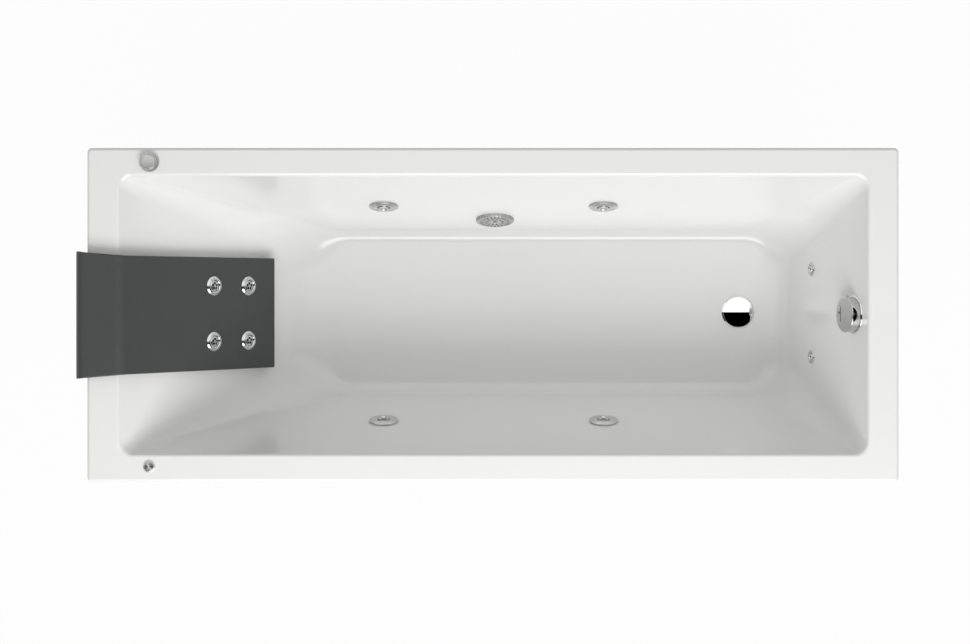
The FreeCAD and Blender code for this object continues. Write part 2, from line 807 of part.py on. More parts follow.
def bath_shell():
    """The rim, its turned-down edge and the bowl as one moulding, with a hole for each fitting."""
    body = new_body("shell_moulding")
    half_length, half_width = d.rim_length / 2, d.rim_width / 2
    rim = new_sketch(body, "XY_Plane", "rim_outline", d.rim_height - d.rim_drop)
    rounded_rectangle(
        rim, centre_x - half_length, centre_x + half_length, -half_width, half_width,
        d.rim_corner, d.rim_corner,
    )
    slab = pad(body, rim, d.rim_drop)
    doc.recompute()
    edges = slab.Shape.Edges
    top_edges = [
        f"Edge{i + 1}" for i, edge in enumerate(edges)
        if abs(edge.BoundBox.ZMin - rim_top) < 0.001
    ]
    rounding = body.newObject("PartDesign::Fillet", "rim_edge_rounding")
    rounding.Base = (slab, top_edges)
    rounding.Radius = d.rim_edge_round.value
    rounding.setExpression("Radius", d.rim_edge_round.text)
    under = new_sketch(body, "XY_Plane", "under_rim_outline", d.rim_height - d.rim_drop)
    inset = d.shell_wall
    rounded_rectangle(
        under, centre_x - half_length + inset, centre_x + half_length - inset,
        inset - half_width, half_width - inset,
        d.rim_corner - inset, d.rim_corner - inset,
    )
    pad(body, under, d.rim_drop - d.shell_wall, reverse=True, kind="Pocket")
    near_floor = [d.head_floor_round * share for share in (0.36, 0.24, 0.15, 0.08, 0.03, 0.008)]
    lip = [d.lip_roll * share for share in (0, 0.08, 0.3, 0.75)]
    outer_depths = [d.shell_wall - 1] + [d.bowl_depth + d.shell_wall - rise for rise in near_floor]
    outer_depths = outer_depths + [d.bowl_depth + d.shell_wall]
    inner_depths = lip + [d.bowl_depth - rise for rise in near_floor] + [d.bowl_depth]
    outside = [
        bowl_outline(body, f"outside_{i}", as_size(depth), d.shell_wall)
        for i, depth in enumerate(outer_depths)
    ]
    loft(body, outside, "AdditiveLoft")
    inside = [
        bowl_outline(body, f"inside_{i}", as_size(depth), ZERO)
        for i, depth in enumerate(inner_depths)
    ]
    loft(body, inside, "SubtractiveLoft")
    holes = []
    sunk = [(spot, d.jet_hole_radius) for spot in side_jets]
    sunk += [(spot, d.pad_jet_hole_radius) for spot in pad_jets]
    sunk += [(spot, d.foot_jet_hole_radius) for spot in foot_jets]
    sunk += [(suction, d.suction_hole_radius), (overflow, d.overflow_hole_radius)]
    sunk += [(drain, d.drain_hole_radius), (button_spot, d.button_body_radius + d.thread_gap)]
    sunk += [(air_spot, d.air_body_radius + d.thread_gap)]
    reach = 3 * d.shell_wall.value
    for i, (spot, radius) in enumerate(sunk, start=1):
        holes.append(rod(f"shell_hole_{i}", spot.out(reach), spot.inward, 2 * reach, radius))
    drilled = less("drilled_shell", body, holes)
    doc.recompute()
    shell = doc.addObject("Part::Feature", "bath_shell")
    shell.Label = "bath_shell"
    shell.Shape = flat_walls(drilled.Shape)
    keep(shell)


# ---------------------------------------------------------------- base board and support frame


def bar(label, at, facing, across, width, height, length):
    """A closed section with rounded edges, running from a point along facing."""
    body = new_body(label)
    section = new_sketch(body, "XY_Plane", f"{label}_section")
    edge_round = d.tube_side / 10
    rounded_rectangle(
        section, -width / 2, width / 2, -height / 2, height / 2, edge_round, edge_round
    )
    pad(body, section, length)
    place(body, at, facing, across)
    return body


def frame():
    """Base board, two long rails, two cross bars, four uprights and the timber under the rim."""
    keep(box(
        "base_board",
        (centre_x - head_edge + d.backrest_run + d.board_head_inset, -board_half_width, rail_top),
        (drain_x - d.board_drain_gap, board_half_width, floor_under),
    ))
    rail_z = (rail_top - d.tube_side / 2).value
    rails, bars, uprights = [], [], []
    rail_length = d.rim_length - d.rail_end_inset * 2
    for name, side in (("rail_left", -1), ("rail_right", 1)):
        at = vector((head_end + d.rail_end_inset).value, side * rail_y.value, rail_z)
        rails.append(bar(name, at, ALONG_X, ALONG_Y, d.tube_side, d.tube_side, rail_length))
    bar_z = (rail_under - d.tube_side / 2).value
    half_bar = upright_y + d.upright_width / 2
    for name, x in (("head", head_bar_x), ("foot", foot_bar_x)):
        bar_x = x.value
        at = vector(bar_x, -half_bar.value, bar_z)
        solid = bar(
            f"{name}_bar_section", at, ALONG_Y, ALONG_X, d.tube_side, d.tube_side, half_bar * 2
        )
        holes = [
            rod(
                f"{name}_stud_hole_{i}", vector(bar_x, side * foot_y.value, bar_under.value - 1),
                UP, d.tube_side.value + 2, d.foot_stud_radius + d.thread_gap,
            )
            for i, side in enumerate((-1, 1), start=1)
        ]
        bars.append(less(f"{name}_cross_bar", solid, holes))
        for word, side in (("left", -1), ("right", 1)):
            foot = vector(bar_x, side * upright_y.value, rail_under.value)
            height = d.rim_height - d.shell_wall - rail_under
            uprights.append(bar(
                f"{name}_upright_{word}", foot, UP, ALONG_X, d.tube_side, d.upright_width, height
            ))
    group("long_rails", rails)
    group("cross_bars", bars)
    group("uprights", uprights)
    batten_top = d.rim_height - d.shell_wall
    half_tube = d.tube_side / 2
    outer = upright_y + d.upright_width / 2
    for name, side in (("left", -1), ("right", 1)):
        low_y, high_y = sorted((side * outer, side * (outer - d.batten_width)), key=lambda y: y.value)
        keep(box(
            f"rim_batten_{name}",
            (head_bar_x + half_tube, low_y, batten_top - d.batten_thick),
            (foot_bar_x - half_tube, high_y, batten_top),
        ))


def hex_nut(label, radius, hole, low, thick):
    """A six-sided nut, radius across its corners, that starts at a height and runs up."""
    nut = new_body(label)
    section = new_sketch(nut, "XY_Plane", f"{label}_section", low)
    flat, half = radius * math.cos(math.pi / 6), radius / 2
    polygon(section, [
        (radius, 0), (half, flat), (-half, flat), (-radius, 0), (-half, -flat), (half, -flat),
    ])
    circle(section, 0, 0, hole)
    pad(nut, section, thick)
    return nut


def levelling_feet():
    """Four screw feet and the nuts that hold them under the cross bars."""
    stud_top = rail_under + d.tube_side * 0.4
    outline = [
        (0, 0), (d.foot_pad_radius, 0), (d.foot_pad_radius, d.foot_pad_thick / 2),
        (d.foot_stud_radius * 2, d.foot_pad_thick), (d.foot_stud_radius, d.foot_pad_thick),
        (d.foot_stud_radius, stud_top), (0, stud_top),
    ]
    spots = []
    number = 1
    for x in (head_bar_x, foot_bar_x):
        for side in (-1, 1):
            at = vector(x.value, side * foot_y.value, 0)
            keep(turned(f"levelling_foot_{number}", outline, at))
            spots.append(Spot(at + vector(0, 0, bar_under.value - d.foot_nut_thick.value), UP, ALONG_X))
            number += 1
    nut = hex_nut(
        "foot_nut", d.foot_nut_radius, d.foot_stud_radius + d.thread_gap, ZERO, d.foot_nut_thick
    )
    keep(copies("foot_lock_nuts", nut, spots))


# ---------------------------------------------------------------- jets


def ball_nozzle(label, spot, lift, radius, reach, bore):
    """A bored ball with flat ends, its centre this far in front of the wall."""
    body = new_body(label)
    sketch = new_sketch(body, "XZ_Plane", f"{label}_outline")
    face = root(radius * radius - reach * reach)
    arc_edge(sketch, (face, -reach), (face, reach), (ZERO, ZERO), radius)
    straight(sketch, (face, reach), (bore, reach))
    straight(sketch, (bore, reach), (bore, -reach))
    straight(sketch, (bore, -reach), (face, -reach))
    spin = body.newObject("PartDesign::Revolution", f"{label}_Revolution")
    spin.Profile = sketch
    spin.ReferenceAxis = (sketch, ["V_Axis"])
    spin.Angle = 360
    place(body, spot.at + spot.inward * lift.value, spot.inward, spot.across)
    return body


def side_jet_parts():
    """Fixed bodies behind the side walls, and a turning ring with a tilting ball nozzle in each."""
    barrel = d.jet_hole_radius - d.thread_gap
    body = turned("side_jet_body", [
        (0, -d.jet_chamber_end), (d.jet_chamber_radius, -d.jet_chamber_end),
        (d.jet_chamber_radius, -d.jet_chamber_top), (barrel, -d.jet_chamber_top), (barrel, 0),
        (d.jet_flange_radius, 0), (d.jet_flange_radius, d.jet_flange_thick),
        (d.jet_bore_radius, d.jet_flange_thick), (d.jet_bore_radius, -d.jet_bore_depth),
        (0, -d.jet_bore_depth),
    ])
    crossbar(body, -d.jet_water_depth, d.jet_water_stub_radius, d.jet_water_stub_reach)
    crossbar(body, -d.jet_air_depth, d.jet_air_stub_radius, d.jet_air_stub_reach)
    bodies = copies("side_jet_bodies", body, side_jets)
    back = d.jet_flange_thick + d.running_gap
    face = back + d.jet_ring_thick
    bore = d.jet_ball_radius + 2 * d.running_gap
    ball_centre = back + d.jet_ring_thick / 2
    for i, spot in enumerate(side_jets, start=1):
        keep(turned(f"side_jet_ring_{i}", [
            (bore, back), (d.jet_ring_radius, back), (d.jet_ring_radius, face),
            (bore, face - d.jet_ring_dish),
        ], spot.at, spot.inward, spot.across))
        keep(ball_nozzle(
            f"side_jet_nozzle_{i}", spot, ball_centre, d.jet_ball_radius, d.jet_ball_reach,
            d.jet_nozzle_bore,
        ))
    return bodies


def pad_jet_parts():
    """Four jets that reach through the back pad, each with a spinning rotor."""
    face = d.pad_thick + 2 * d.running_gap
    body = turned("pad_jet_body", [
        (0, -d.pad_jet_back), (d.pad_jet_stem_radius, -d.pad_jet_back),
        (d.pad_jet_stem_radius, face), (d.pad_jet_bore_radius, face),
        (d.pad_jet_bore_radius, face - d.pad_jet_bore_depth), (0, face - d.pad_jet_bore_depth),
    ])
    crossbar(body, -d.pad_jet_tube_depth, d.pad_jet_tube_radius + 2, d.pad_jet_stub_reach)
    bodies = copies("pad_jet_bodies", body, pad_jets)
    ring_face = face + d.pad_jet_ring_thick
    ring = turned("pad_jet_ring", [
        (d.pad_jet_bore_radius, face), (d.pad_jet_ring_radius, face),
        (d.pad_jet_ring_radius, face + d.pad_jet_ring_thick / 4), (d.pad_jet_bore_radius, ring_face),
    ])
    rings = copies("pad_jet_rings", ring, pad_jets)
    for i, spot in enumerate(pad_jets, start=1):
        rotor = turned(f"pad_jet_rotor_{i}", [
            (0, ring_face - d.rotor_thick), (d.rotor_radius, ring_face - d.rotor_thick),
            (d.rotor_radius, ring_face), (0, ring_face + d.rotor_crown),
        ], spot.at, spot.inward, spot.across)
        port = new_sketch(rotor, "XY_Plane", f"rotor_port_{i}", ring_face + d.rotor_crown)
        circle(port, d.rotor_port_pitch, 0, d.rotor_port_radius)
        cut = pad(rotor, port, d.rotor_thick + d.rotor_crown, kind="Pocket")
        polar(rotor, cut, 3)
        keep(rotor)
    return bodies, rings


def polar(body, feature, count):
    """Repeats a feature round the body's own Z."""
    doc.recompute()
    pattern = body.newObject("PartDesign::PolarPattern", f"{body.Label}_pattern")
    pattern.Originals = [feature]
    axis = [line for line in body.Origin.OriginFeatures if line.Role == "Z_Axis"][0]
    pattern.Axis = (axis, [""])
    pattern.Angle = 360
    pattern.Occurrences = count
    body.Tip = pattern
    return pattern


def foot_jet_parts():
    """Two small jets in the foot wall, each with a tilting nozzle."""
    stem = d.foot_jet_hole_radius - d.thread_gap
    seat = d.foot_nozzle_radius + 2
    body = turned("foot_jet_body", [
        (0, -d.foot_jet_back), (stem, -d.foot_jet_back), (stem, 0),
        (d.foot_jet_bore_radius, 0), (d.foot_jet_bore_radius, -seat), (0, -seat),
    ])
    crossbar(body, -d.foot_jet_water_depth, d.foot_jet_stub_radius, d.foot_jet_stub_reach)
    bodies = copies("foot_jet_bodies", body, foot_jets)
    ring = turned("foot_jet_ring", [
        (d.foot_jet_bore_radius, 0), (d.foot_jet_flange_radius, 0),
        (d.foot_jet_flange_radius, d.foot_jet_flange_thick / 3),
        (d.foot_jet_bore_radius, d.foot_jet_flange_thick),
    ])
    rings = copies("foot_jet_rings", ring, foot_jets)
    for i, spot in enumerate(foot_jets, start=1):
        keep(ball_nozzle(
            f"foot_jet_nozzle_{i}", spot, ZERO, d.foot_nozzle_radius, d.foot_nozzle_reach,
            d.foot_nozzle_bore,
        ))
    return bodies, rings


def suction_parts():
    """The suction body behind the wall, and its slotted grille held by one screw."""
    barrel = d.suction_hole_radius - d.thread_gap
    body = turned("suction_body", [
        (0, -d.suction_back), (d.suction_chamber_radius, -d.suction_back),
        (d.suction_chamber_radius, -d.suction_bore_depth / 2), (barrel, -d.suction_bore_depth / 2),
        (barrel, 0), (d.suction_flange_radius, 0), (d.suction_flange_radius, d.suction_flange_thick),
        (d.suction_bore_radius, d.suction_flange_thick),
        (d.suction_bore_radius, -d.suction_bore_depth), (0, -d.suction_bore_depth),
    ], suction.at, suction.inward, suction.across)
    outlet = new_sketch(body, "YZ_Plane", "suction_outlet")
    circle(outlet, 0, -d.suction_pipe_depth, d.suction_stub_radius)
    pad(body, outlet, d.suction_stub_reach, reverse=True)
    keep(body)
    under = d.suction_flange_thick
    skirt = d.suction_flange_radius + d.running_gap
    shoulder = under + d.grille_wall
    top = under + d.grille_thick
    grille = turned("suction_grille", [
        (0, under), (skirt, under), (skirt, d.running_gap), (d.grille_radius, d.running_gap),
        (d.grille_radius, shoulder), (d.grille_slot_outer, top), (0, top),
    ], suction.at, suction.inward, suction.across)
    slot = new_sketch(grille, "XY_Plane", "grille_slot", top + 1)
    half = d.grille_slot_width / 2
    inner, outer = d.grille_slot_inner, d.grille_slot_outer
    polygon(slot, [(inner, -half), (outer, -half), (outer, half), (inner, half)])
    cut = pad(grille, slot, d.grille_thick + 2, kind="Pocket")
    polar(grille, cut, SIZES["grille_slot_count"])
    keep(grille)
    keep(turned("suction_screw", [
        (0, top), (d.grille_screw_radius, top), (d.grille_screw_radius, top + 1.2),
        (d.grille_screw_radius * 0.6, top + 2.2), (0, top + 2.2),
    ], suction.at, suction.inward, suction.across))


def seals_and_nuts(waste_gasket):
    """Gaskets under the large fittings and a lock nut behind every fitting."""
    wall = d.shell_wall

    def gasket(name, barrel):
        inner, outer, low = barrel + d.thread_gap, barrel + d.gasket_margin, -wall - d.gasket_thick
        return turned(name, [(inner, low), (outer, low), (outer, -wall), (inner, -wall)])

    jet = d.jet_hole_radius - d.thread_gap
    intake = d.suction_hole_radius - d.thread_gap
    jet_gasket = gasket("side_jet_gasket", jet)
    intake_gasket = gasket("suction_gasket", intake)
    group("fitting_gaskets", [
        copies("side_jet_gaskets", jet_gasket, side_jets),
        copies("suction_gaskets", intake_gasket, [suction]),
        waste_gasket,
    ])

    def nut(name, barrel, top, margin):
        return hex_nut(name, barrel + margin, barrel + d.thread_gap, top - d.nut_thick, d.nut_thick)

    under = -wall - d.gasket_thick
    jet_nut = nut("side_jet_nut", jet, under, d.nut_margin)
    intake_nut = nut("suction_nut", intake, under, d.nut_margin)
    pad_nut = nut("pad_jet_nut", d.pad_jet_stem_radius, -wall, d.nut_margin)
    foot_stem = d.foot_jet_hole_radius - d.thread_gap
    foot_nut = nut("foot_jet_nut", foot_stem, -wall, d.nut_margin / 2)
    overflow_stem = d.overflow_hole_radius - d.thread_gap
    overflow_nut = nut("overflow_nut", overflow_stem, -wall, d.nut_margin)
    air_nut = nut("air_control_nut", d.air_body_radius, -wall, d.nut_margin / 2)
    button_nut = nut("button_nut", d.button_body_radius, -wall, d.nut_margin / 3)
    group("fitting_lock_nuts", [
        copies("side_jet_nuts", jet_nut, side_jets),
        copies("suction_nuts", intake_nut, [suction]),
        copies("pad_jet_nuts", pad_nut, pad_jets),
        copies("foot_jet_nuts", foot_nut, foot_jets),
        copies("overflow_nuts", overflow_nut, [overflow]),
        copies("air_control_nuts", air_nut, [air_spot]),
        copies("button_nuts", button_nut, [button_spot]),
    ])


def group(label, pieces):
    """Separate solids kept together as one sub-part."""
    bundle = doc.addObject("Part::Compound", label)
    bundle.Label = label
    bundle.Links = pieces
    keep(bundle)
    return bundle


# ---------------------------------------------------------------- waste and overflow


def waste_parts():
    """Floor flange with its stem guide, the rising plug and its seal, and the trap below."""
    throat = d.drain_hole_radius - d.thread_gap
    depth = d.shell_wall * 3
    guide = d.plug_stem_radius + d.running_gap
    flange = turned("drain_flange", [
        (d.drain_bore_radius, -depth), (throat, -depth), (throat, 0), (d.drain_flange_radius, 0),
        (d.drain_flange_radius, d.drain_flange_thick / 2),
        (d.plug_cover_radius + d.running_gap, d.drain_flange_thick),
        (d.drain_bore_radius, d.drain_flange_thick),
    ], drain.at)
    web = new_sketch(flange, "XY_Plane", "stem_guide_web", -depth)
    arm, half = d.drain_bore_radius + 1, guide + 2
    thin = d.plug_stem_radius / 2
    polygon(web, [
        (arm, -thin), (arm, thin), (half, thin), (half, half), (thin, half), (thin, arm),
        (-thin, arm), (-thin, half), (-half, half), (-half, thin), (-arm, thin),
        (-arm, -thin), (-half, -thin), (-half, -half), (-thin, -half), (-thin, -arm),
        (thin, -arm), (thin, -half), (half, -half), (half, -thin),
    ])
    circle(web, 0, 0, guide)
    pad(flange, web, d.drain_flange_thick)
    keep(flange)
    under = d.drain_flange_thick + d.running_gap
    cover = under + d.plug_cover_thick
    stem_end = -(depth + d.plug_travel + d.plug_stem_radius)
    keep(turned("drain_plug", [
        (0, stem_end), (d.plug_stem_radius, stem_end), (d.plug_stem_radius, under),
        (d.plug_cover_radius - 1, under), (d.plug_cover_radius, cover - 1),
        (d.plug_cover_radius - 1, cover), (0, cover),
    ], drain.at))
    seal_edge = d.drain_bore_radius - d.running_gap
    keep(turned("plug_seal", [
        (d.plug_stem_radius, under - d.seal_thick), (seal_edge, under - d.seal_thick),
        (seal_edge, under), (d.plug_stem_radius, under),
    ], drain.at))
    gasket_inner = d.drain_hole_radius
    trap_top = floor_under - d.trap_top_gap
    gasket = turned("waste_gasket", [
        (gasket_inner, trap_top), (d.trap_radius, trap_top),
        (d.trap_radius, floor_under), (gasket_inner, floor_under),
    ], vector(drain.at.x, 0, 0))
    socket_floor = floor_top - depth - d.running_gap
    well_floor = floor_top + stem_end - d.plug_travel
    trap = turned("waste_trap", [
        (0, trap_bottom), (d.trap_radius * 0.8, trap_bottom),
        (d.trap_radius, trap_bottom + d.trap_radius / 3),
        (d.trap_radius, trap_top), (gasket_inner, trap_top), (gasket_inner, socket_floor),
        (d.drain_bore_radius, socket_floor), (d.drain_bore_radius, well_floor), (0, well_floor),
    ], vector(drain.at.x, 0, 0))
    inlet = new_sketch(trap, "YZ_Plane", "trap_inlet", d.trap_radius * 0.8)
    circle(inlet, 0, trap_inlet_z, d.trap_inlet_radius)
    pad(trap, inlet, d.trap_inlet_reach - d.trap_radius * 0.8)
    boss = new_sketch(trap, "YZ_Plane", "cable_boss", d.drain_bore_radius)
    circle(boss, d.drain_bore_radius, trap_inlet_z, d.cable_radius * 1.7)
    pad(trap, boss, d.trap_inlet_reach - d.drain_bore_radius - d.trap_inlet_radius / 2)
    collar = new_sketch(trap, "XZ_Plane", "trap_outlet_collar")
    circle(collar, 0, trap_outlet_z, d.trap_outlet_radius + d.trap_collar)
    pad(trap, collar, d.trap_outlet_reach - d.trap_outlet_length)
    outlet = new_sketch(trap, "XZ_Plane", "trap_outlet")
    circle(outlet, 0, trap_outlet_z, d.trap_outlet_radius)
    pad(trap, outlet, d.trap_outlet_reach)
    keep(trap)
    return gasket


def overflow_parts():
    """Overflow elbow behind the foot wall, its cover plate and the turning knob."""
    stem = d.overflow_hole_radius - d.thread_gap
    back = d.overflow_elbow_back
    well = back * 0.6
    seat = d.overflow_spindle_radius + d.running_gap
    elbow = turned("overflow_elbow", [
        (0, -back), (stem, -back), (stem, 0), (stem * 0.75, 0), (stem * 0.75, -well),
        (seat, -well), (seat, -back * 0.85), (0, -back * 0.85),
    ], overflow.at, overflow.inward, overflow.across)
    outlet = new_sketch(elbow, "XZ_Plane", "overflow_outlet", -stem * 0.8)
    circle(outlet, 0, -back * 0.7, d.overflow_pipe_radius + 2)
    pad(elbow, outlet, stem, reverse=True)
    cable = new_sketch(elbow, "YZ_Plane", "cable_outlet", stem * 0.8)
    circle(cable, 0, -back * 0.7, d.cable_radius * 1.7)
    pad(elbow, cable, stem * 0.5)
    keep(elbow)
    plate = d.overflow_plate_thick
    keep(turned("overflow_plate", [
        (stem * 0.75, 0), (d.overflow_plate_radius, 0), (d.overflow_plate_radius, plate / 2),
        (d.overflow_plate_radius - 1.5, plate), (stem * 0.75, plate),
    ], overflow.at, overflow.inward, overflow.across))
    low = plate + d.overflow_knob_gap
    top = low + d.overflow_knob_thick
    spindle = d.overflow_spindle_radius
    end = -back * 0.8
    keep(turned("overflow_knob", [
        (0, end), (spindle, end), (spindle, low), (d.overflow_knob_radius - 1, low),
        (d.overflow_knob_radius, low + 1), (d.overflow_knob_radius, top - 1),
        (d.overflow_knob_radius - 1, top), (0, top),
    ], overflow.at, overflow.inward, overflow.across))


# ---------------------------------------------------------------- rim controls


def air_control_parts():
    """Air control body through the rim, and its ribbed knob."""
    spindle = d.air_body_radius / 3
    hole = spindle + d.running_gap
    spigot_end = -d.air_body_depth - d.air_spigot_length
    keep(turned("air_control_body", [
        (0, spigot_end), (d.air_pipe_radius + 1, spigot_end),
        (d.air_pipe_radius + 1, -d.air_body_depth), (d.air_body_radius, -d.air_body_depth),
        (d.air_body_radius, 0), (d.air_flange_radius, 0), (d.air_flange_radius, d.air_flange_thick),
        (hole, d.air_flange_thick), (hole, -d.control_well), (0, -d.control_well),
    ], air_spot.at))
    low = d.air_flange_thick + d.running_gap
    top = low + d.air_knob_thick
    knob = turned("air_knob", [
        (0, -d.control_spindle), (spindle, -d.control_spindle), (spindle, low),
        (d.air_knob_top_radius, low),
        (d.air_knob_top_radius, top - 1), (d.air_knob_top_radius - 1, top), (0, top),
    ], air_spot.at)
    skirt = new_sketch(knob, "XY_Plane", "ribbed_skirt", low)
    crest, root_radius = d.air_knob_radius, d.air_knob_radius - d.air_knob_rib_depth
    count = SIZES["air_knob_rib_count"]
    corners = []
    for i in range(2 * count):
        turn = math.pi * i / count
        radius = crest if i % 2 else root_radius
        corners.append((radius * math.cos(turn), radius * math.sin(turn)))
    polygon(skirt, corners)
    pad(knob, skirt, d.air_knob_thick * 0.7)
    keep(knob)


def button_parts():
    """Start button in its housing through the rim."""
    guide = d.button_radius + d.running_gap
    keep(turned("button_housing", [
        (0, -d.button_body_depth), (d.button_body_radius, -d.button_body_depth),
        (d.button_body_radius, 0), (d.button_bezel_radius, 0),
        (d.button_bezel_radius, d.button_bezel_thick * 0.7),
        (guide + 0.6, d.button_bezel_thick), (guide, d.button_bezel_thick),
        (guide, -d.control_well), (0, -d.control_well),
    ], button_spot.at))
    low = d.button_rise - d.button_thick
    keep(turned("start_button", [
        (0, low), (d.button_radius, low), (d.button_radius, d.button_rise - 0.8),
        (d.button_radius - 0.8, d.button_rise), (0, d.button_rise),
    ], button_spot.at))


# ---------------------------------------------------------------- back pad


def back_pad():
    """A moulded foam pad that hooks over the head rim and lies down the backrest."""
    length = slant(d.backrest_run)
    fall, run = d.bowl_depth / length, d.backrest_run / length
    gap, thick = d.running_gap, d.pad_thick
    lip_x = centre_x - (head_edge - d.backrest_run * d.lip_roll / d.bowl_depth
                        + d.lip_roll * length / d.bowl_depth)
    lip_z = d.rim_height - d.lip_roll
    outer, inner = d.lip_roll + gap + thick, d.lip_roll + gap
    hook_outside = head_end - d.pad_overhang
    hook_inside = head_end - gap
    hook_low = d.rim_height - d.pad_hook_depth
    top, under = d.rim_height + gap + thick, d.rim_height + gap
    hook_round = d.pad_hook_round

    def on_slope(down, above):
        return (
            centre_x - head_edge + run * down + fall * above,
            d.rim_height - fall * down + run * above,
        )

    body = new_body("pad_slab")
    side = new_sketch(body, "XZ_Plane", "pad_side")
    bend_out = (lip_x + outer * fall, lip_z + outer * run)
    bend_in = (lip_x + inner * fall, lip_z + inner * run)
    end_out = on_slope(d.pad_slope_length, gap + thick)
    end_in = on_slope(d.pad_slope_length, gap)
    straight(side, (hook_outside, hook_low), (hook_outside, top - hook_round))
    arc_edge(
        side, (hook_outside, top - hook_round), (hook_outside + hook_round, top),
        (hook_outside + hook_round, top - hook_round), hook_round,
    )
    straight(side, (hook_outside + hook_round, top), (lip_x, top))
    arc_edge(side, (lip_x, top), bend_out, (lip_x, lip_z), outer)
    straight(side, bend_out, end_out)
    straight(side, end_out, end_in)
    straight(side, end_in, bend_in)
    arc_edge(side, bend_in, (lip_x, under), (lip_x, lip_z), inner)
    straight(side, (lip_x, under), (hook_inside, under))
    straight(side, (hook_inside, under), (hook_inside, hook_low))
    straight(side, (hook_inside, hook_low), (hook_outside, hook_low))
    pad(body, side, d.pad_flare_half_width * 2, both_ways=True)
    plan_body = new_body("pad_plan")
    plan = new_sketch(plan_body, "XY_Plane", "pad_outline", hook_low - d.rim_height)
    flare = d.pad_flare_half_width - d.pad_half_width
    flare_start = lip_x + 2 * d.pad_thick
    reach = flare_start - hook_outside
    flare_radius = (reach * reach + flare * flare) / (2 * flare)
    low_end = end_out[0] + 10
    for side_sign in (-1, 1):
        wide = side_sign * d.pad_flare_half_width
        slim = side_sign * d.pad_half_width
        arc_edge(
            plan, (hook_outside, wide), (flare_start, slim),
            (flare_start, slim + side_sign * flare_radius), flare_radius,
        )
        straight(plan, (flare_start, slim), (low_end, slim))
    straight(plan, (low_end, -d.pad_half_width), (low_end, d.pad_half_width))
    straight(plan, (hook_outside, -d.pad_flare_half_width), (hook_outside, d.pad_flare_half_width))
    pad(plan_body, plan, d.rim_height * 2)
    shaped = doc.addObject("Part::Common", "pad_shaped")
    shaped.Base = body
    shaped.Tool = plan_body
    holes = [
        rod(f"pad_hole_{i}", spot.at, spot.inward, 2 * thick.value, d.pad_jet_stem_radius + 2 * gap)
        for i, spot in enumerate(pad_jets, start=1)
    ]
    keep(less("back_pad", shaped, holes))


# ---------------------------------------------------------------- pump


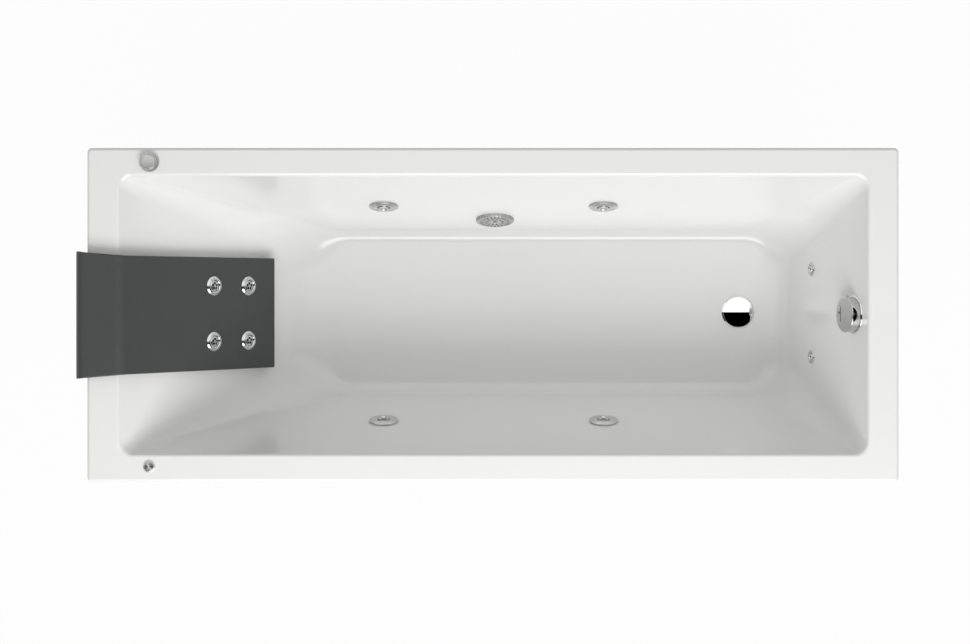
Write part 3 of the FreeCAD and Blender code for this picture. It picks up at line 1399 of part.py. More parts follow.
def pump_parts():
    """Pump on its board: cradle, finned motor, volute, shaft, impeller, fan, cover and box."""
    board_top = rail_top + d.pump_board_thick
    axis_z = board_top + d.pump_axis_rise
    half_board, half_width = d.pump_board_half_length, rail_y + d.tube_side
    keep(box(
        "pump_board", (pump_x - half_board, -half_width, rail_top),
        (pump_x + half_board, half_width, board_top),
    ))
    motor_back = volute_y - d.motor_length
    fin_tip = d.motor_radius + d.motor_fin_height
    block = box(
        "cradle_block",
        (pump_x - d.motor_radius * 0.8, motor_back + d.motor_length * 0.2, board_top),
        (pump_x + d.motor_radius * 0.8, motor_back + d.motor_length * 0.8,
         axis_z - d.motor_radius * 0.5),
    )
    motor_at = vector(pump_x.value, motor_back.value, axis_z.value)
    motor_length = d.motor_length.value
    saddle_radius = fin_tip + d.running_gap / 3
    saddle = rod("cradle_saddle", motor_at, ALONG_Y, motor_length, saddle_radius)
    cradle = less("motor_cradle", block, [saddle])
    shaft_hole = d.shaft_radius + d.running_gap
    motor = turned("motor_casing", [
        (shaft_hole, 0), (d.motor_radius, 0), (d.motor_radius, d.motor_length),
        (shaft_hole, d.motor_length),
    ], motor_at, ALONG_Y, ALONG_X)
    fin = new_sketch(motor, "XY_Plane", "motor_fin", d.motor_length * 0.1)
    half_fin = d.motor_fin_width / 2
    polygon(fin, [
        (d.motor_radius - 2, -half_fin), (fin_tip, -half_fin),
        (fin_tip, half_fin), (d.motor_radius - 2, half_fin),
    ])
    polar(motor, pad(motor, fin, d.motor_length * 0.8), SIZES["motor_fin_count"])
    group("pump_motor", [motor, cradle])
    volute_at = vector(pump_x.value, volute_y.value, axis_z.value)
    wall = d.volute_wall
    inner = d.volute_radius - wall
    bore = d.pump_inlet_radius - wall
    length = d.volute_length
    volute = turned("volute_casing", [
        (shaft_hole, 0), (d.volute_radius, 0), (d.volute_radius, length),
        (d.pump_inlet_radius, length), (d.pump_inlet_radius, length + d.pump_inlet_reach),
        (bore, length + d.pump_inlet_reach), (bore, length - wall), (inner, length - wall),
        (inner, wall), (shaft_hole, wall),
    ], volute_at, ALONG_Y, ALONG_X)
    outlet_x = (pump_x - d.pump_outlet_offset).value
    outlet_y = (volute_y + length / 2).value
    start = d.impeller_radius.value
    outlet = rod(
        "volute_outlet", vector(outlet_x, outlet_y, axis_z.value + start), UP,
        d.pump_outlet_top.value - start, d.pump_outlet_radius,
    )
    keep(joined("pump_volute", [volute, outlet]))
    shaft_start = motor_back - d.fan_cover_length * 0.8
    shaft_length = volute_y + wall * 2 + d.impeller_length - shaft_start
    keep(turned("pump_shaft", [
        (0, 0), (d.shaft_radius, 0), (d.shaft_radius, shaft_length), (0, shaft_length),
    ], vector(pump_x.value, shaft_start.value, axis_z.value), ALONG_Y, ALONG_X))
    hub = d.shaft_radius * 1.8
    keep(wheel(
        "pump_impeller", volute_at + ALONG_Y * (wall * 1.5).value,
        hub, d.impeller_radius, d.impeller_length, d.impeller_length / 5, 6,
    ))
    keep(wheel(
        "pump_fan", motor_at - ALONG_Y * (d.fan_length + d.motor_fin_width).value,
        hub, d.fan_radius, d.fan_length, d.fan_length / 5, 8,
    ))
    cover_wall = d.fan_cover_wall
    cover_radius = d.motor_radius
    cover = turned("fan_cover", [
        (0, -d.fan_cover_length), (cover_radius, -d.fan_cover_length), (cover_radius, 0),
        (cover_radius - cover_wall, 0), (cover_radius - cover_wall, cover_wall - d.fan_cover_length),
        (0, cover_wall - d.fan_cover_length),
    ], motor_at, ALONG_Y, ALONG_X)
    vent = new_sketch(cover, "XY_Plane", "fan_vent", -d.fan_cover_length - 1)
    half = cover_wall
    polygon(vent, [
        (hub, -half), (cover_radius * 0.8, -half), (cover_radius * 0.8, half), (hub, half)
    ])
    polar(cover, pad(cover, vent, cover_wall + 2, reverse=True, kind="Pocket"), 10)
    keep(cover)
    box_start = motor_back + d.terminal_inset
    block = box(
        "terminal_block",
        (pump_x - d.motor_radius * 0.6, box_start, axis_z + d.motor_radius * 0.9),
        (pump_x + d.motor_radius * 0.6, box_start + d.terminal_length,
         axis_z + d.motor_radius * 1.75),
    )
    seat = rod("terminal_seat", motor_at, ALONG_Y, motor_length, saddle_radius)
    cup = less("terminal_cup", block, [seat])
    gland_at = vector(pump_x.value, box_start.value, (axis_z + d.motor_radius * 1.45).value)
    gland_top = d.gland_radius - 2
    gland = turned("cable_gland", [
        (d.gland_bore, 0), (d.gland_radius, 0), (d.gland_radius, d.gland_length / 3),
        (gland_top, d.gland_length), (d.gland_bore, d.gland_length),
    ], gland_at, -ALONG_Y)
    group("terminal_box", [cup, gland])
    return axis_z


def wheel(label, at, hub, rim, length, plate, blades):
    """A hub with a back plate and straight blades, on the pump shaft."""
    body = turned(label, [
        (d.shaft_radius, 0), (rim, 0), (rim, plate), (hub, plate), (hub, length), (d.shaft_radius, length),
    ], at, ALONG_Y, ALONG_X)
    blade = new_sketch(body, "XY_Plane", f"{label}_blade", plate / 2)
    polygon(blade, [(hub - 2, -1.5), (rim - 1, -1.5), (rim - 1, 1.5), (hub - 2, 1.5)])
    polar(body, pad(body, blade, length - plate / 2), blades)
    return body


# ---------------------------------------------------------------- pipes


def water_pipes(axis_z):
    """The pressure side: the pump's riser, a loop to all side jets, and runs to the others."""
    radius, bend = d.water_pipe_radius, d.water_bend
    depth, stub = d.jet_water_depth, d.jet_water_stub_reach.value
    left, right = side_jets[0].out(depth, -stub), side_jets[2].out(depth, -stub)
    main_x = (pump_x - d.pump_outlet_offset).value
    outlet_y = (volute_y + d.volute_length / 2).value
    outlet = vector(main_x, outlet_y, axis_z.value + d.pump_outlet_top.value)
    reach = d.water_tee_reach.value
    along = ALONG_Y * reach
    pump_tee = vector(main_x, outlet_y, left.z)
    pad_tee = vector(main_x, 0, left.z)
    arm = radius.value + d.tee_wall.value + reach / 2
    upper, lower = (
        (pad_jets[i].out(d.pad_jet_tube_depth) + pad_jets[i + 1].out(d.pad_jet_tube_depth)) / 2
        for i in (0, 2)
    )
    feed = (upper - pad_tee).normalize()
    pieces = [
        *pipe("water_left", [left, vector(main_x, left.y, left.z), pad_tee - along], radius, bend),
        tee("pad_jet_tee", pad_tee, ALONG_Y, [feed], radius, reach),
        *pipe("water_middle", [pad_tee + along, pump_tee - along], radius, bend),
        tee("pump_tee", pump_tee, ALONG_Y, [-UP], radius, reach),
        *pipe("water_right", [pump_tee + along, vector(main_x, right.y, right.z), right], radius, bend),
        *pipe("water_riser", [outlet, pump_tee - UP * arm], radius, bend),
    ]
    lead = ALONG_X * d.foot_pipe_lead.value
    for i, side in enumerate((-1, 1)):
        near, far = side_jets[2 * i], side_jets[2 * i + 1]
        run = [near.out(depth, stub), far.out(depth, -stub)]
        pieces += pipe(f"water_run_{i}", run, radius, bend)
        start = far.out(depth, stub)
        end = foot_jets[i].out(d.foot_jet_water_depth, side * d.foot_jet_stub_reach.value)
        route = [start, start + lead, vector(end.x, start.y, end.z), end]
        pieces += pipe(f"foot_run_{i}", route, d.foot_pipe_radius, d.foot_pipe_bend)
    tube = d.pad_jet_tube_radius
    reach = d.pad_tee_reach.value
    link = (lower - upper).normalize()
    arm_thin = tube.value + d.tee_wall.value + reach / 2
    pieces += [
        tee("upper_pad_tee", upper, ALONG_Y, [-feed, link], tube, reach),
        tee("lower_pad_tee", lower, ALONG_Y, [-link], tube, reach),
        *pipe("pad_feed", [pad_tee + feed * arm, upper - feed * arm_thin], tube, bend),
        *pipe("pad_link", [upper + link * arm_thin, lower - link * arm_thin], tube, bend),
    ]
    for row, middle in enumerate((upper, lower)):
        for word, side in (("left", -1), ("right", 1)):
            jet = pad_jets[2 * row + (side + 1) // 2]
            end = jet.out(d.pad_jet_tube_depth, -side * d.pad_jet_stub_reach.value)
            route = [middle + ALONG_Y * (side * reach), end]
            pieces += pipe(f"pad_run_{row}_{word}", route, tube, bend)
    group("water_pipes", pieces)


def air_pipes():
    """The air loop from the air control to the four side jets."""
    radius, bend = d.air_pipe_radius, d.air_bend
    depth, stub = d.jet_air_depth, d.jet_air_stub_reach.value
    main_x = (head_end + d.air_main_inset).value
    left, right = side_jets[0].out(depth, -stub), side_jets[2].out(depth, -stub)
    reach = d.air_tee_reach.value
    at = vector(air_spot.at.x, right.y, right.z)
    arm = radius.value + d.tee_wall.value + reach / 2
    loop = [left, vector(main_x, left.y, left.z), vector(main_x, right.y, right.z)]
    top = air_spot.at - UP * (d.air_body_depth + d.air_spigot_length).value
    step = top - UP * d.air_drop_lead.value
    below = vector(at.x, at.y, step.z - d.air_drop_step.value)
    pieces = [
        *pipe("air_loop", [*loop, at - ALONG_X * reach], radius, bend),
        tee("air_tee", at, ALONG_X, [UP], radius, reach),
        *pipe("air_right", [at + ALONG_X * reach, right], radius, bend),
        *pipe("air_drop", [top, step, below, at + UP * arm], radius, bend),
    ]
    for i in (0, 2):
        run = [side_jets[i].out(depth, stub), side_jets[i + 1].out(depth, -stub)]
        pieces += pipe(f"air_run_{i}", run, radius, bend)
    group("air_pipes", pieces)


def suction_pipe(axis_z):
    """The suction side, from the bath wall down to the pump's inlet."""
    start = suction.out(d.suction_pipe_depth, -d.suction_stub_reach.value)
    inlet_y = (volute_y + d.volute_length + d.pump_inlet_reach).value
    group("suction_pipe", pipe("suction_run", [
        start, start - ALONG_X * d.suction_lead.value, vector(pump_x.value, start.y, axis_z.value),
        vector(pump_x.value, inlet_y, axis_z.value),
    ], d.suction_pipe_radius, d.suction_bend))


def overflow_lines():
    """The overflow pipe to the trap, and the cable that lifts the waste plug."""
    down = overflow.inward.cross(overflow.across)
    stem = (d.overflow_hole_radius - d.thread_gap).value
    back = d.overflow_elbow_back.value
    start = overflow.out(back * 0.7) + down * (stem * 1.8)
    inlet = vector(drain.at.x + d.trap_inlet_reach.value, 0, trap_inlet_z.value)
    corner = start + down * ((start.z - inlet.z) / -down.z)
    group("overflow_pipe", pipe(
        "overflow_run", [start, corner, inlet], d.overflow_pipe_radius, d.overflow_bend
    ))
    first = overflow.out(back * 0.7, stem * 1.3)
    offset = first + ALONG_Y * d.cable_offset.value
    low = offset + down * ((offset.z - inlet.z) / -down.z)
    boss_x = drain.at.x + (d.trap_inlet_reach - d.trap_inlet_radius / 2).value
    boss = vector(boss_x, d.drain_bore_radius.value, inlet.z)
    before = boss + ALONG_X * d.cable_lead.value
    keep(hose(
        "pop_up_cable", [first, offset, low, before, boss], d.cable_radius, d.switch_tube_bend
    ))


def switch_tube(axis_z):
    """The air tube from the start button to the switch in the terminal box."""
    top = button_spot.at - UP * d.button_body_depth.value
    lowered = top - UP * d.switch_tube_drop.value
    step = vector(0, d.switch_tube_inset.value, -d.switch_tube_step.value)
    box_y = (volute_y - d.motor_length + d.terminal_inset * 1.5).value
    box_top = vector(pump_x.value, box_y, (axis_z + d.motor_radius * 1.75).value)
    above = box_top + UP * d.switch_tube_rise.value
    keep(hose(
        "switch_tube", [top, lowered, lowered + step, above, box_top],
        d.switch_tube_radius, d.switch_tube_bend,
    ))


# ---------------------------------------------------------------- the whole bath

bath_shell()
frame()
levelling_feet()
side_bodies = side_jet_parts()
pad_bodies, pad_rings = pad_jet_parts()
foot_bodies, foot_rings = foot_jet_parts()
group("jet_bodies", [side_bodies, pad_bodies, foot_bodies])
group("jet_trim_rings", [pad_rings, foot_rings])
suction_parts()
seals_and_nuts(waste_parts())
overflow_parts()
air_control_parts()
button_parts()
back_pad()
pump_axis_z = pump_parts()
water_pipes(pump_axis_z)
air_pipes()
suction_pipe(pump_axis_z)
overflow_lines()
switch_tube(pump_axis_z)
doc.recompute()

for thing in doc.Objects:
    if "Invalid" in thing.State or "Error" in thing.State:
        raise RuntimeError(f"{thing.Label} could not be built")
os.makedirs("parts", exist_ok=True)
for piece in sub_parts:
    if piece.Shape.isNull() or not piece.Shape.isValid() or not piece.Shape.Solids:
        raise RuntimeError(f"{piece.Label} has no sound solid")
    piece.Shape.exportStep(f"parts/{piece.Label}.step")
print(len(sub_parts), "sub-parts written")
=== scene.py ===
"""Looks of a jetted bathtub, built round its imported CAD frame. Sizes are in millimetres unless said."""

import json
import logging
import math
from collections.abc import Sequence
from dataclasses import dataclass
from enum import Enum

import bmesh
import bpy
from mathutils import Matrix, Vector

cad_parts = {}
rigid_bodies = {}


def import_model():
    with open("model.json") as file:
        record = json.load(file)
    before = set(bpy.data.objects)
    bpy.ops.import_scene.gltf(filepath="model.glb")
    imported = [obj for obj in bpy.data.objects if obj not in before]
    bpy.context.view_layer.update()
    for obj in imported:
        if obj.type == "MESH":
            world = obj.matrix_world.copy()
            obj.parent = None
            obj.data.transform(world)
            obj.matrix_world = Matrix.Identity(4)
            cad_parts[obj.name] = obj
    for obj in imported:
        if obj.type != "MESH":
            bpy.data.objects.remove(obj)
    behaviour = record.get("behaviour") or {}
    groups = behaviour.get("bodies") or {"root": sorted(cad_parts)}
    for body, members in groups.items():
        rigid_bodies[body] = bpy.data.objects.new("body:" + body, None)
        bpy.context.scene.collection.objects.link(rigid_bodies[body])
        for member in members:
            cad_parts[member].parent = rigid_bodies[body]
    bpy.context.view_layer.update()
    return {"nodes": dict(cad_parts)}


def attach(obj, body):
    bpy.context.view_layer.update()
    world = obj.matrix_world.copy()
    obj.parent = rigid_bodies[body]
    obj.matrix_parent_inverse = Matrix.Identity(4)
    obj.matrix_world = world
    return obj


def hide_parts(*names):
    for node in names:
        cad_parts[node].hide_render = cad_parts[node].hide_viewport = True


log = logging.getLogger("jetted_bath")
Point = tuple[float, float]
Rgb = tuple[float, float, float]


class Slot(Enum):
    """Material slots of the record."""

    ACRYLIC = "acrylic"
    FOAM = "moulded_foam"
    CHROME = "chrome_trim"
    FITTING = "fitting_plastic"
    PIPE = "pipe_plastic"
    HOSE = "clear_hose"
    RUBBER = "seal_rubber"
    STEEL = "frame_steel"
    FOOT = "foot_plastic"
    TIMBER = "board_timber"
    MOTOR = "motor_paint"
    SHAFT = "shaft_steel"
    CABLE = "cable_sheath"


class Wear(Enum):
    """Shared surface effects, each a shader node group."""

    MOTTLE = "Mottled surface"
    SCRATCH = "Fine scratches"
    SPANGLE = "Zinc spangle"
    BOARD = "Pressed wood flakes"


# ---------------- shader node groups


class NodeTree:
    """Short calls for adding and joining nodes of one tree."""

    def __init__(self, tree: bpy.types.NodeTree) -> None:
        """Keeps the tree that the calls add to."""
        self.tree = tree

    def add(self, kind: str, settings: dict | None = None, **inputs: object) -> bpy.types.Node:
        """Adds a node.

        Args:
            kind: Blender's node type.
            settings: properties of the node itself.
            inputs: socket name with underscores for blanks, and a value or the socket to join.

        Returns:
            The node.
        """
        node = self.tree.nodes.new(kind)
        for name, value in (settings or {}).items():
            setattr(node, name, value)
        for name, value in inputs.items():
            socket = node.inputs[int(name[1:])] if name[0] == "_" else node.inputs[name.replace("_", " ")]
            if isinstance(value, bpy.types.NodeSocket):
                self.tree.links.new(value, socket)
            else:
                socket.default_value = value
        return node

    def math(self, operation: str, first: object, second: object = 0.0) -> bpy.types.NodeSocket:
        """The result of a Math node."""
        node = self.add("ShaderNodeMath", {"operation": operation}, _0=first, _1=second)
        return node.outputs[0]

    def ramp(self, value: object, span: Point, out: Point) -> bpy.types.NodeSocket:
        """A value carried from one span to another, clamped."""
        node = self.add("ShaderNodeMapRange", _0=value, _1=span[0], _2=span[1], _3=out[0], _4=out[1])
        return node.outputs[0]


BROAD_GRAIN = 0.04
SCRATCH_RUNS = ((0.3, 14.0), (1.9, 11.0))
SCRATCH_BAND = (0.62, 0.75)
FLAKE_STRETCH = (0.35, 1.0, 2.5)
ROUGHNESS_SHARE = 0.5
BUMP_STRENGTH = 0.6
COAT_ROUGHNESS = 0.03


def shader_group(effect: Wear) -> bpy.types.NodeTree:
    """The node group of one effect, made once.

    Args:
        effect: which effect.

    Returns:
        A group that gives a colour, a roughness and a height from a colour, scale and amount.
    """
    found = bpy.data.node_groups.get(effect.value)
    if found:
        return found
    group = bpy.data.node_groups.new(effect.value, "ShaderNodeTree")
    for name, kind in (("Color", "Color"), ("Scale", "Float"), ("Roughness", "Float"), ("Amount", "Float")):
        group.interface.new_socket(name, in_out="INPUT", socket_type=f"NodeSocket{kind}")
    for name, kind in (("Color", "Color"), ("Roughness", "Float"), ("Height", "Float")):
        group.interface.new_socket(name, in_out="OUTPUT", socket_type=f"NodeSocket{kind}")
    t = NodeTree(group)
    given = group.nodes.new("NodeGroupInput").outputs
    place = t.add("ShaderNodeTexCoord").outputs["Object"]
    broad_scale = t.math("MULTIPLY", given["Scale"], BROAD_GRAIN)
    broad = t.add("ShaderNodeTexNoise", Vector=place, Scale=broad_scale, Detail=3.0)
    if effect is Wear.MOTTLE:
        fine = t.add("ShaderNodeTexNoise", Vector=place, Scale=given["Scale"], Detail=4.0).outputs[0]
    elif effect is Wear.SCRATCH:
        lines = []
        for turn, stretch in SCRATCH_RUNS:
            mapped = t.add(
                "ShaderNodeMapping", Vector=place, Rotation=(0.2, turn, turn), Scale=(1.0, stretch, 3.0),
            )
            noise = t.add("ShaderNodeTexNoise", Vector=mapped.outputs[0], Scale=given["Scale"], Detail=2.0)
            lines.append(t.ramp(noise.outputs[0], SCRATCH_BAND, (0.0, 1.0)))
        fine = t.math("MAXIMUM", *lines)
    elif effect is Wear.SPANGLE:
        cells = t.add("ShaderNodeTexVoronoi", Vector=place, Scale=given["Scale"])
        fine = t.add("ShaderNodeSeparateColor", Color=cells.outputs["Color"]).outputs[0]
    else:
        mapped = t.add("ShaderNodeMapping", Vector=place, Scale=FLAKE_STRETCH)
        cells = t.add("ShaderNodeTexVoronoi", Vector=mapped.outputs[0], Scale=given["Scale"])
        grain = t.add("ShaderNodeTexNoise", Vector=mapped.outputs[0], Scale=given["Scale"], Detail=5.0)
        flakes = t.add("ShaderNodeSeparateColor", Color=cells.outputs["Color"]).outputs[1]
        fine = t.math("MULTIPLY", t.math("ADD", flakes, grain.outputs[0]), 0.5)
    both = t.math("ADD", fine, broad.outputs[0])
    spread = t.math("MULTIPLY", t.math("SUBTRACT", both, 1.0), given["Amount"])
    tint = t.add("ShaderNodeHueSaturation", Color=given["Color"], Value=t.math("ADD", spread, 1.0))
    rough = t.math("ADD", given["Roughness"], t.math("MULTIPLY", spread, ROUGHNESS_SHARE))
    out = group.nodes.new("NodeGroupOutput")
    for socket, result in zip(out.inputs, (tint.outputs[0], rough, fine)):
        group.links.new(result, socket)
    return group


@dataclass(frozen=True)
class Finish:
    """One procedural surface.

    Args:
        name: the material's name.
        color: linear base colour.
        roughness: mean roughness.
        wear: the effect that varies it.
        scale: the effect's grain, per metre.
        amount: how strongly colour and roughness vary.
        bump: height of the grain in millimetres.
        metallic, coat, clear, anisotropic, specular: the shader's own values.
    """

    name: str
    color: Rgb
    roughness: float
    wear: Wear = Wear.MOTTLE
    scale: float = 900.0
    amount: float = 0.06
    bump: float = 0.02
    metallic: float = 0.0
    coat: float = 0.0
    clear: float = 0.0
    anisotropic: float = 0.0
    specular: float = 0.5

    def material(self) -> bpy.types.Material:
        """The material, made once.

        Returns:
            The Blender material.
        """
        found = bpy.data.materials.get(self.name)
        if found:
            return found
        material = bpy.data.materials.new(self.name)
        material.use_nodes = True
        t = NodeTree(material.node_tree)
        shader = material.node_tree.nodes["Principled BSDF"]
        effect = t.add("ShaderNodeGroup", {"node_tree": shader_group(self.wear)})
        for name, value in (
            ("Color", (*self.color, 1.0)), ("Scale", self.scale),
            ("Roughness", self.roughness), ("Amount", self.amount),
        ):
            effect.inputs[name].default_value = value
        height = effect.outputs["Height"]
        bump = t.add("ShaderNodeBump", Distance=self.bump / 1000, Height=height, Strength=BUMP_STRENGTH)
        for source, name in (
            (effect.outputs["Color"], "Base Color"), (effect.outputs["Roughness"], "Roughness"),
            (bump.outputs[0], "Normal"),
        ):
            material.node_tree.links.new(source, shader.inputs[name])
        for name, value in (
            ("Metallic", self.metallic), ("Coat Weight", self.coat), ("Coat Roughness", COAT_ROUGHNESS),
            ("Transmission Weight", self.clear), ("Anisotropic", self.anisotropic),
            ("Specular IOR Level", self.specular),
        ):
            shader.inputs[name].default_value = value
        if self.anisotropic:
            place = t.add("ShaderNodeTexCoord").outputs["Object"]
            arm = t.add("ShaderNodeVectorMath", {"operation": "SUBTRACT"}, _0=place, _1=BUTTON.at)
            material.node_tree.links.new(arm.outputs[0], shader.inputs["Tangent"])
        return material


ACRYLIC = Finish("cast_acrylic", (0.82, 0.82, 0.812), 0.2, scale=60, amount=0.012, bump=0.01, coat=0.22)
FOAM = Finish("foam_skin", (0.052, 0.057, 0.055), 0.46, scale=2600, amount=0.16, bump=0.06, specular=0.45)
CHROME = Finish("polished_chrome", (0.8, 0.81, 0.82), 0.06, Wear.SCRATCH, 240, 0.03, 0.002, metallic=1.0)
MIRROR = Finish("mirror_chrome", (0.88, 0.88, 0.88), 0.012, Wear.SCRATCH, 200, 0.008, 0.0004, metallic=1.0)
SATIN = Finish("satin_chrome", (0.6, 0.605, 0.605), 0.28, Wear.SCRATCH, 500, 0.08, 0.004, metallic=1.0)
SPUN = Finish(
    "spun_chrome", (0.62, 0.625, 0.625), 0.26, Wear.SCRATCH, 600, 0.05, 0.002, metallic=1.0, anisotropic=0.95,
)
BRUSHED = Finish("brushed_chrome", (0.66, 0.665, 0.665), 0.2, Wear.SCRATCH, 700, 0.12, 0.006, metallic=1.0)
DULL = Finish("dull_chrome", (0.56, 0.56, 0.545), 0.38, Wear.SCRATCH, 700, 0.08, 0.004, metallic=0.8)
# Near-black painted shade, given to the blocks that cut the suction slots, standing in for the shade inside
# the slot openings.
SLOT_SHADE = Finish("painted_slot_shade", (0.012, 0.012, 0.013), 0.55, scale=1500, amount=0.2)
FINISHES: dict[Slot, Finish] = {
    Slot.ACRYLIC: ACRYLIC,
    Slot.FOAM: FOAM,
    Slot.CHROME: CHROME,
    Slot.FITTING: Finish("moulded_fitting", (0.68, 0.69, 0.68), 0.42, scale=1400, amount=0.05, bump=0.03),
    Slot.PIPE: Finish("rigid_pipe", (0.75, 0.75, 0.72), 0.3, scale=300, amount=0.04, bump=0.02, coat=0.1),
    Slot.HOSE: Finish("milky_hose", (0.62, 0.66, 0.67), 0.22, scale=400, amount=0.05, clear=0.35, coat=0.2),
    Slot.RUBBER: Finish("black_rubber", (0.025, 0.025, 0.026), 0.62, scale=2000, amount=0.25, bump=0.05),
    Slot.STEEL: Finish(
        "galvanised_steel", (0.52, 0.54, 0.55), 0.42, Wear.SPANGLE, 130, 0.22, 0.01, metallic=0.9,
    ),
    Slot.FOOT: Finish("black_moulding", (0.03, 0.03, 0.032), 0.5, scale=1500, amount=0.2, bump=0.04),
    Slot.TIMBER: Finish("sealed_board", (0.52, 0.37, 0.22), 0.62, Wear.BOARD, 170, 0.5, 0.15),
    Slot.MOTOR: Finish("powder_coat", (0.085, 0.095, 0.105), 0.48, scale=1800, amount=0.16, bump=0.08),
    Slot.SHAFT: Finish("turned_steel", (0.58, 0.58, 0.58), 0.25, Wear.SCRATCH, 700, 0.1, 0.004, metallic=1.0),
    Slot.CABLE: Finish("cable_sheath", (0.05, 0.05, 0.05), 0.5, scale=1200, amount=0.2, bump=0.03),
}


# ---------------- places and meshes


@dataclass(frozen=True)
class Seat:
    """A place in the row frame: a point in metres, the way out of the surface and a level direction."""

    at: Vector
    facing: Vector
    across: Vector = Vector((1, 0, 0))

    def matrix(self) -> Matrix:
        """Carries local millimetres to the row frame, local z along facing.

        Returns:
            The placing matrix.
        """
        z = self.facing.normalized()
        x = self.across.normalized()
        turn = Matrix((x, z.cross(x), z)).transposed().to_4x4()
        return Matrix.Translation(self.at) @ turn @ Matrix.Scale(0.001, 4)


# Unit ways out of the walls, and the seats where the source puts the fittings.
UP = Vector((0, 0, 1))
LOCAL = Seat(Vector((0, 0, 0)), UP)
WALL = Vector((0, 0.9675922, 0.252518))
LEVEL_Y = Vector((0, 1, 0))
FOOT_FACING = Vector((-0.9658428, 0, 0.2591286))
BACK_FACING = Vector((0.7642341, 0, 0.644939))
SIDE_JETS = [
    Seat(Vector((x, side * 0.2385, 0.365)), Vector((0, -side * WALL.y, WALL.z)))
    for side in (-1, 1) for x in (-0.23325, 0.25325)
]
PAD_JETS = [
    Seat(Vector((x, side * 0.061, z)), BACK_FACING, LEVEL_Y)
    for x, z in ((-0.6201748, 0.3850554), (-0.5556809, 0.308632)) for side in (-1, 1)
]
FOOT_JETS = [Seat(Vector((0.7249939, side * 0.0985, 0.31)), FOOT_FACING, LEVEL_Y) for side in (-1, 1)]
SUCTION = Seat(Vector((0.01325, 0.2137073, 0.27)), Vector((0, -WALL.y, WALL.z)))
OVERFLOW = Seat(Vector((0.7770427, 0, 0.504)), FOOT_FACING, LEVEL_Y)
DRAIN = Seat(Vector((0.58175, 0, 0.16)), UP)
AIR = Seat(Vector((-0.71075, 0.32, 0.57)), UP)
BUTTON = Seat(Vector((-0.71075, -0.317, 0.57)), UP)


# What counts as on the axis, how much of an edge a round may take, and the least number under a root.
ON_AXIS = 0.001
CORNER_SHARE = 0.45
TINY = 0.0001


def eased(outline: Sequence[Point], radius: float, steps: int = 4) -> list[Point]:
    """Rounds every corner of a closed outline that lies off the axis.

    Args:
        outline: (radius, height) points in order.
        radius: the wanted round.
        steps: points per round.

    Returns:
        The outline with its corners replaced by arcs.
    """
    points = [Vector(p) for p in outline]
    eased_points: list[Point] = []
    for i, corner in enumerate(points):
        before, after = points[i - 1], points[(i + 1) % len(points)]
        if corner.x < ON_AXIS:
            eased_points.append((0.0, corner.y))
            continue
        into, away = (before - corner), (after - corner)
        reach = min(radius, CORNER_SHARE * into.length, CORNER_SHARE * away.length)
        start, end = corner + into.normalized() * reach, corner + away.normalized() * reach
        for k in range(steps + 1):
            t = k / steps
            mixed = start * (1 - t) ** 2 + corner * (2 * t * (1 - t)) + end * t ** 2
            eased_points.append((mixed.x, mixed.y))
    return eased_points


def lathe(bm: bmesh.types.BMesh, outline: Sequence[Point], seat: Seat, segments: int = 72) -> None:
    """Turns a closed outline about a seat's axis into the mesh.

    Args:
        bm: the mesh that receives the solid.
        outline: (radius, height) points, from the lowest axis point outwards and up, or a closed ring.
        seat: where it goes.
        segments: steps round the axis.
    """
    matrix = seat.matrix()
    rings: list[list[bmesh.types.BMVert]] = []
    for radius, height in outline:
        if radius < ON_AXIS:
            rings.append([bm.verts.new(matrix @ Vector((0, 0, height)))])
            continue
        rings.append([
            bm.verts.new(matrix @ Vector((radius * math.cos(turn), radius * math.sin(turn), height)))
            for turn in (2 * math.pi * k / segments for k in range(segments))
        ])
    for lower, upper in zip(rings, rings[1:] + rings[:1]):
        if len(lower) == 1 and len(upper) == 1:
            continue
        for k in range(segments):
            after = (k + 1) % segments
            near = (lower[k % len(lower)], lower[after % len(lower)])
            far = (upper[after % len(upper)], upper[k % len(upper)])
            bm.faces.new(list(dict.fromkeys((*near, *far))))


def turned(outline: Sequence[Point], seat: Seat, segments: int = 72) -> bmesh.types.BMesh:
    """One solid turned about a seat's axis.

    Args:
        outline: as for lathe.
        seat: where it goes.
        segments: steps round the axis.

    Returns:
        Its mesh.
    """
    bm = bmesh.new()
    lathe(bm, outline, seat, segments)
    return bm


def finished(
    name: str, bm: bmesh.types.BMesh, body: str, slot: Slot, nodes: Sequence[str] = (),
    finish: Finish | None = None, crease: float = 32.0,
) -> bpy.types.Object:
    """Turns a mesh into a piece that rides on a body.

    Args:
        name: the piece's name.
        bm: its mesh in the row frame, which is freed.
        body: the body it rides on.
        slot: its material slot.
        nodes: CAD nodes it stands for.
        finish: its surface, or that of the slot.
        crease: least angle of a sharp edge, in degrees.

    Returns:
        The piece.
    """
    bmesh.ops.recalc_face_normals(bm, faces=bm.faces)
    mesh = bpy.data.meshes.new(name)
    bm.to_mesh(mesh)
    bm.free()
    mesh.shade_smooth()
    mesh.set_sharp_from_angle(angle=math.radians(crease))
    piece = bpy.data.objects.new(name, mesh)
    bpy.context.scene.collection.objects.link(piece)
    mesh.materials.append((finish or FINISHES[slot]).material())
    settle(piece, body, nodes)
    return piece


def settle(piece: bpy.types.Object, body: str, nodes: Sequence[str]) -> None:
    """Ties a piece to what it belongs to, and reports it.

    Args:
        piece: the piece.
        body: the body it rides on.
        nodes: CAD nodes it stands for.
    """
    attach(piece, body)
    if nodes:
        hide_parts(*nodes)
    log.info("%s: %d faces on %s", piece.name, len(piece.data.polygons), body)


def frozen_copy(piece: bpy.types.Object) -> bpy.types.Mesh:
    """Applies a piece's modifiers and removes them from it.

    Args:
        piece: the object with its modifiers.

    Returns:
        The evaluated mesh.
    """
    graph = bpy.context.evaluated_depsgraph_get()
    mesh = bpy.data.meshes.new_from_object(piece.evaluated_get(graph), depsgraph=graph)
    piece.modifiers.clear()
    return mesh


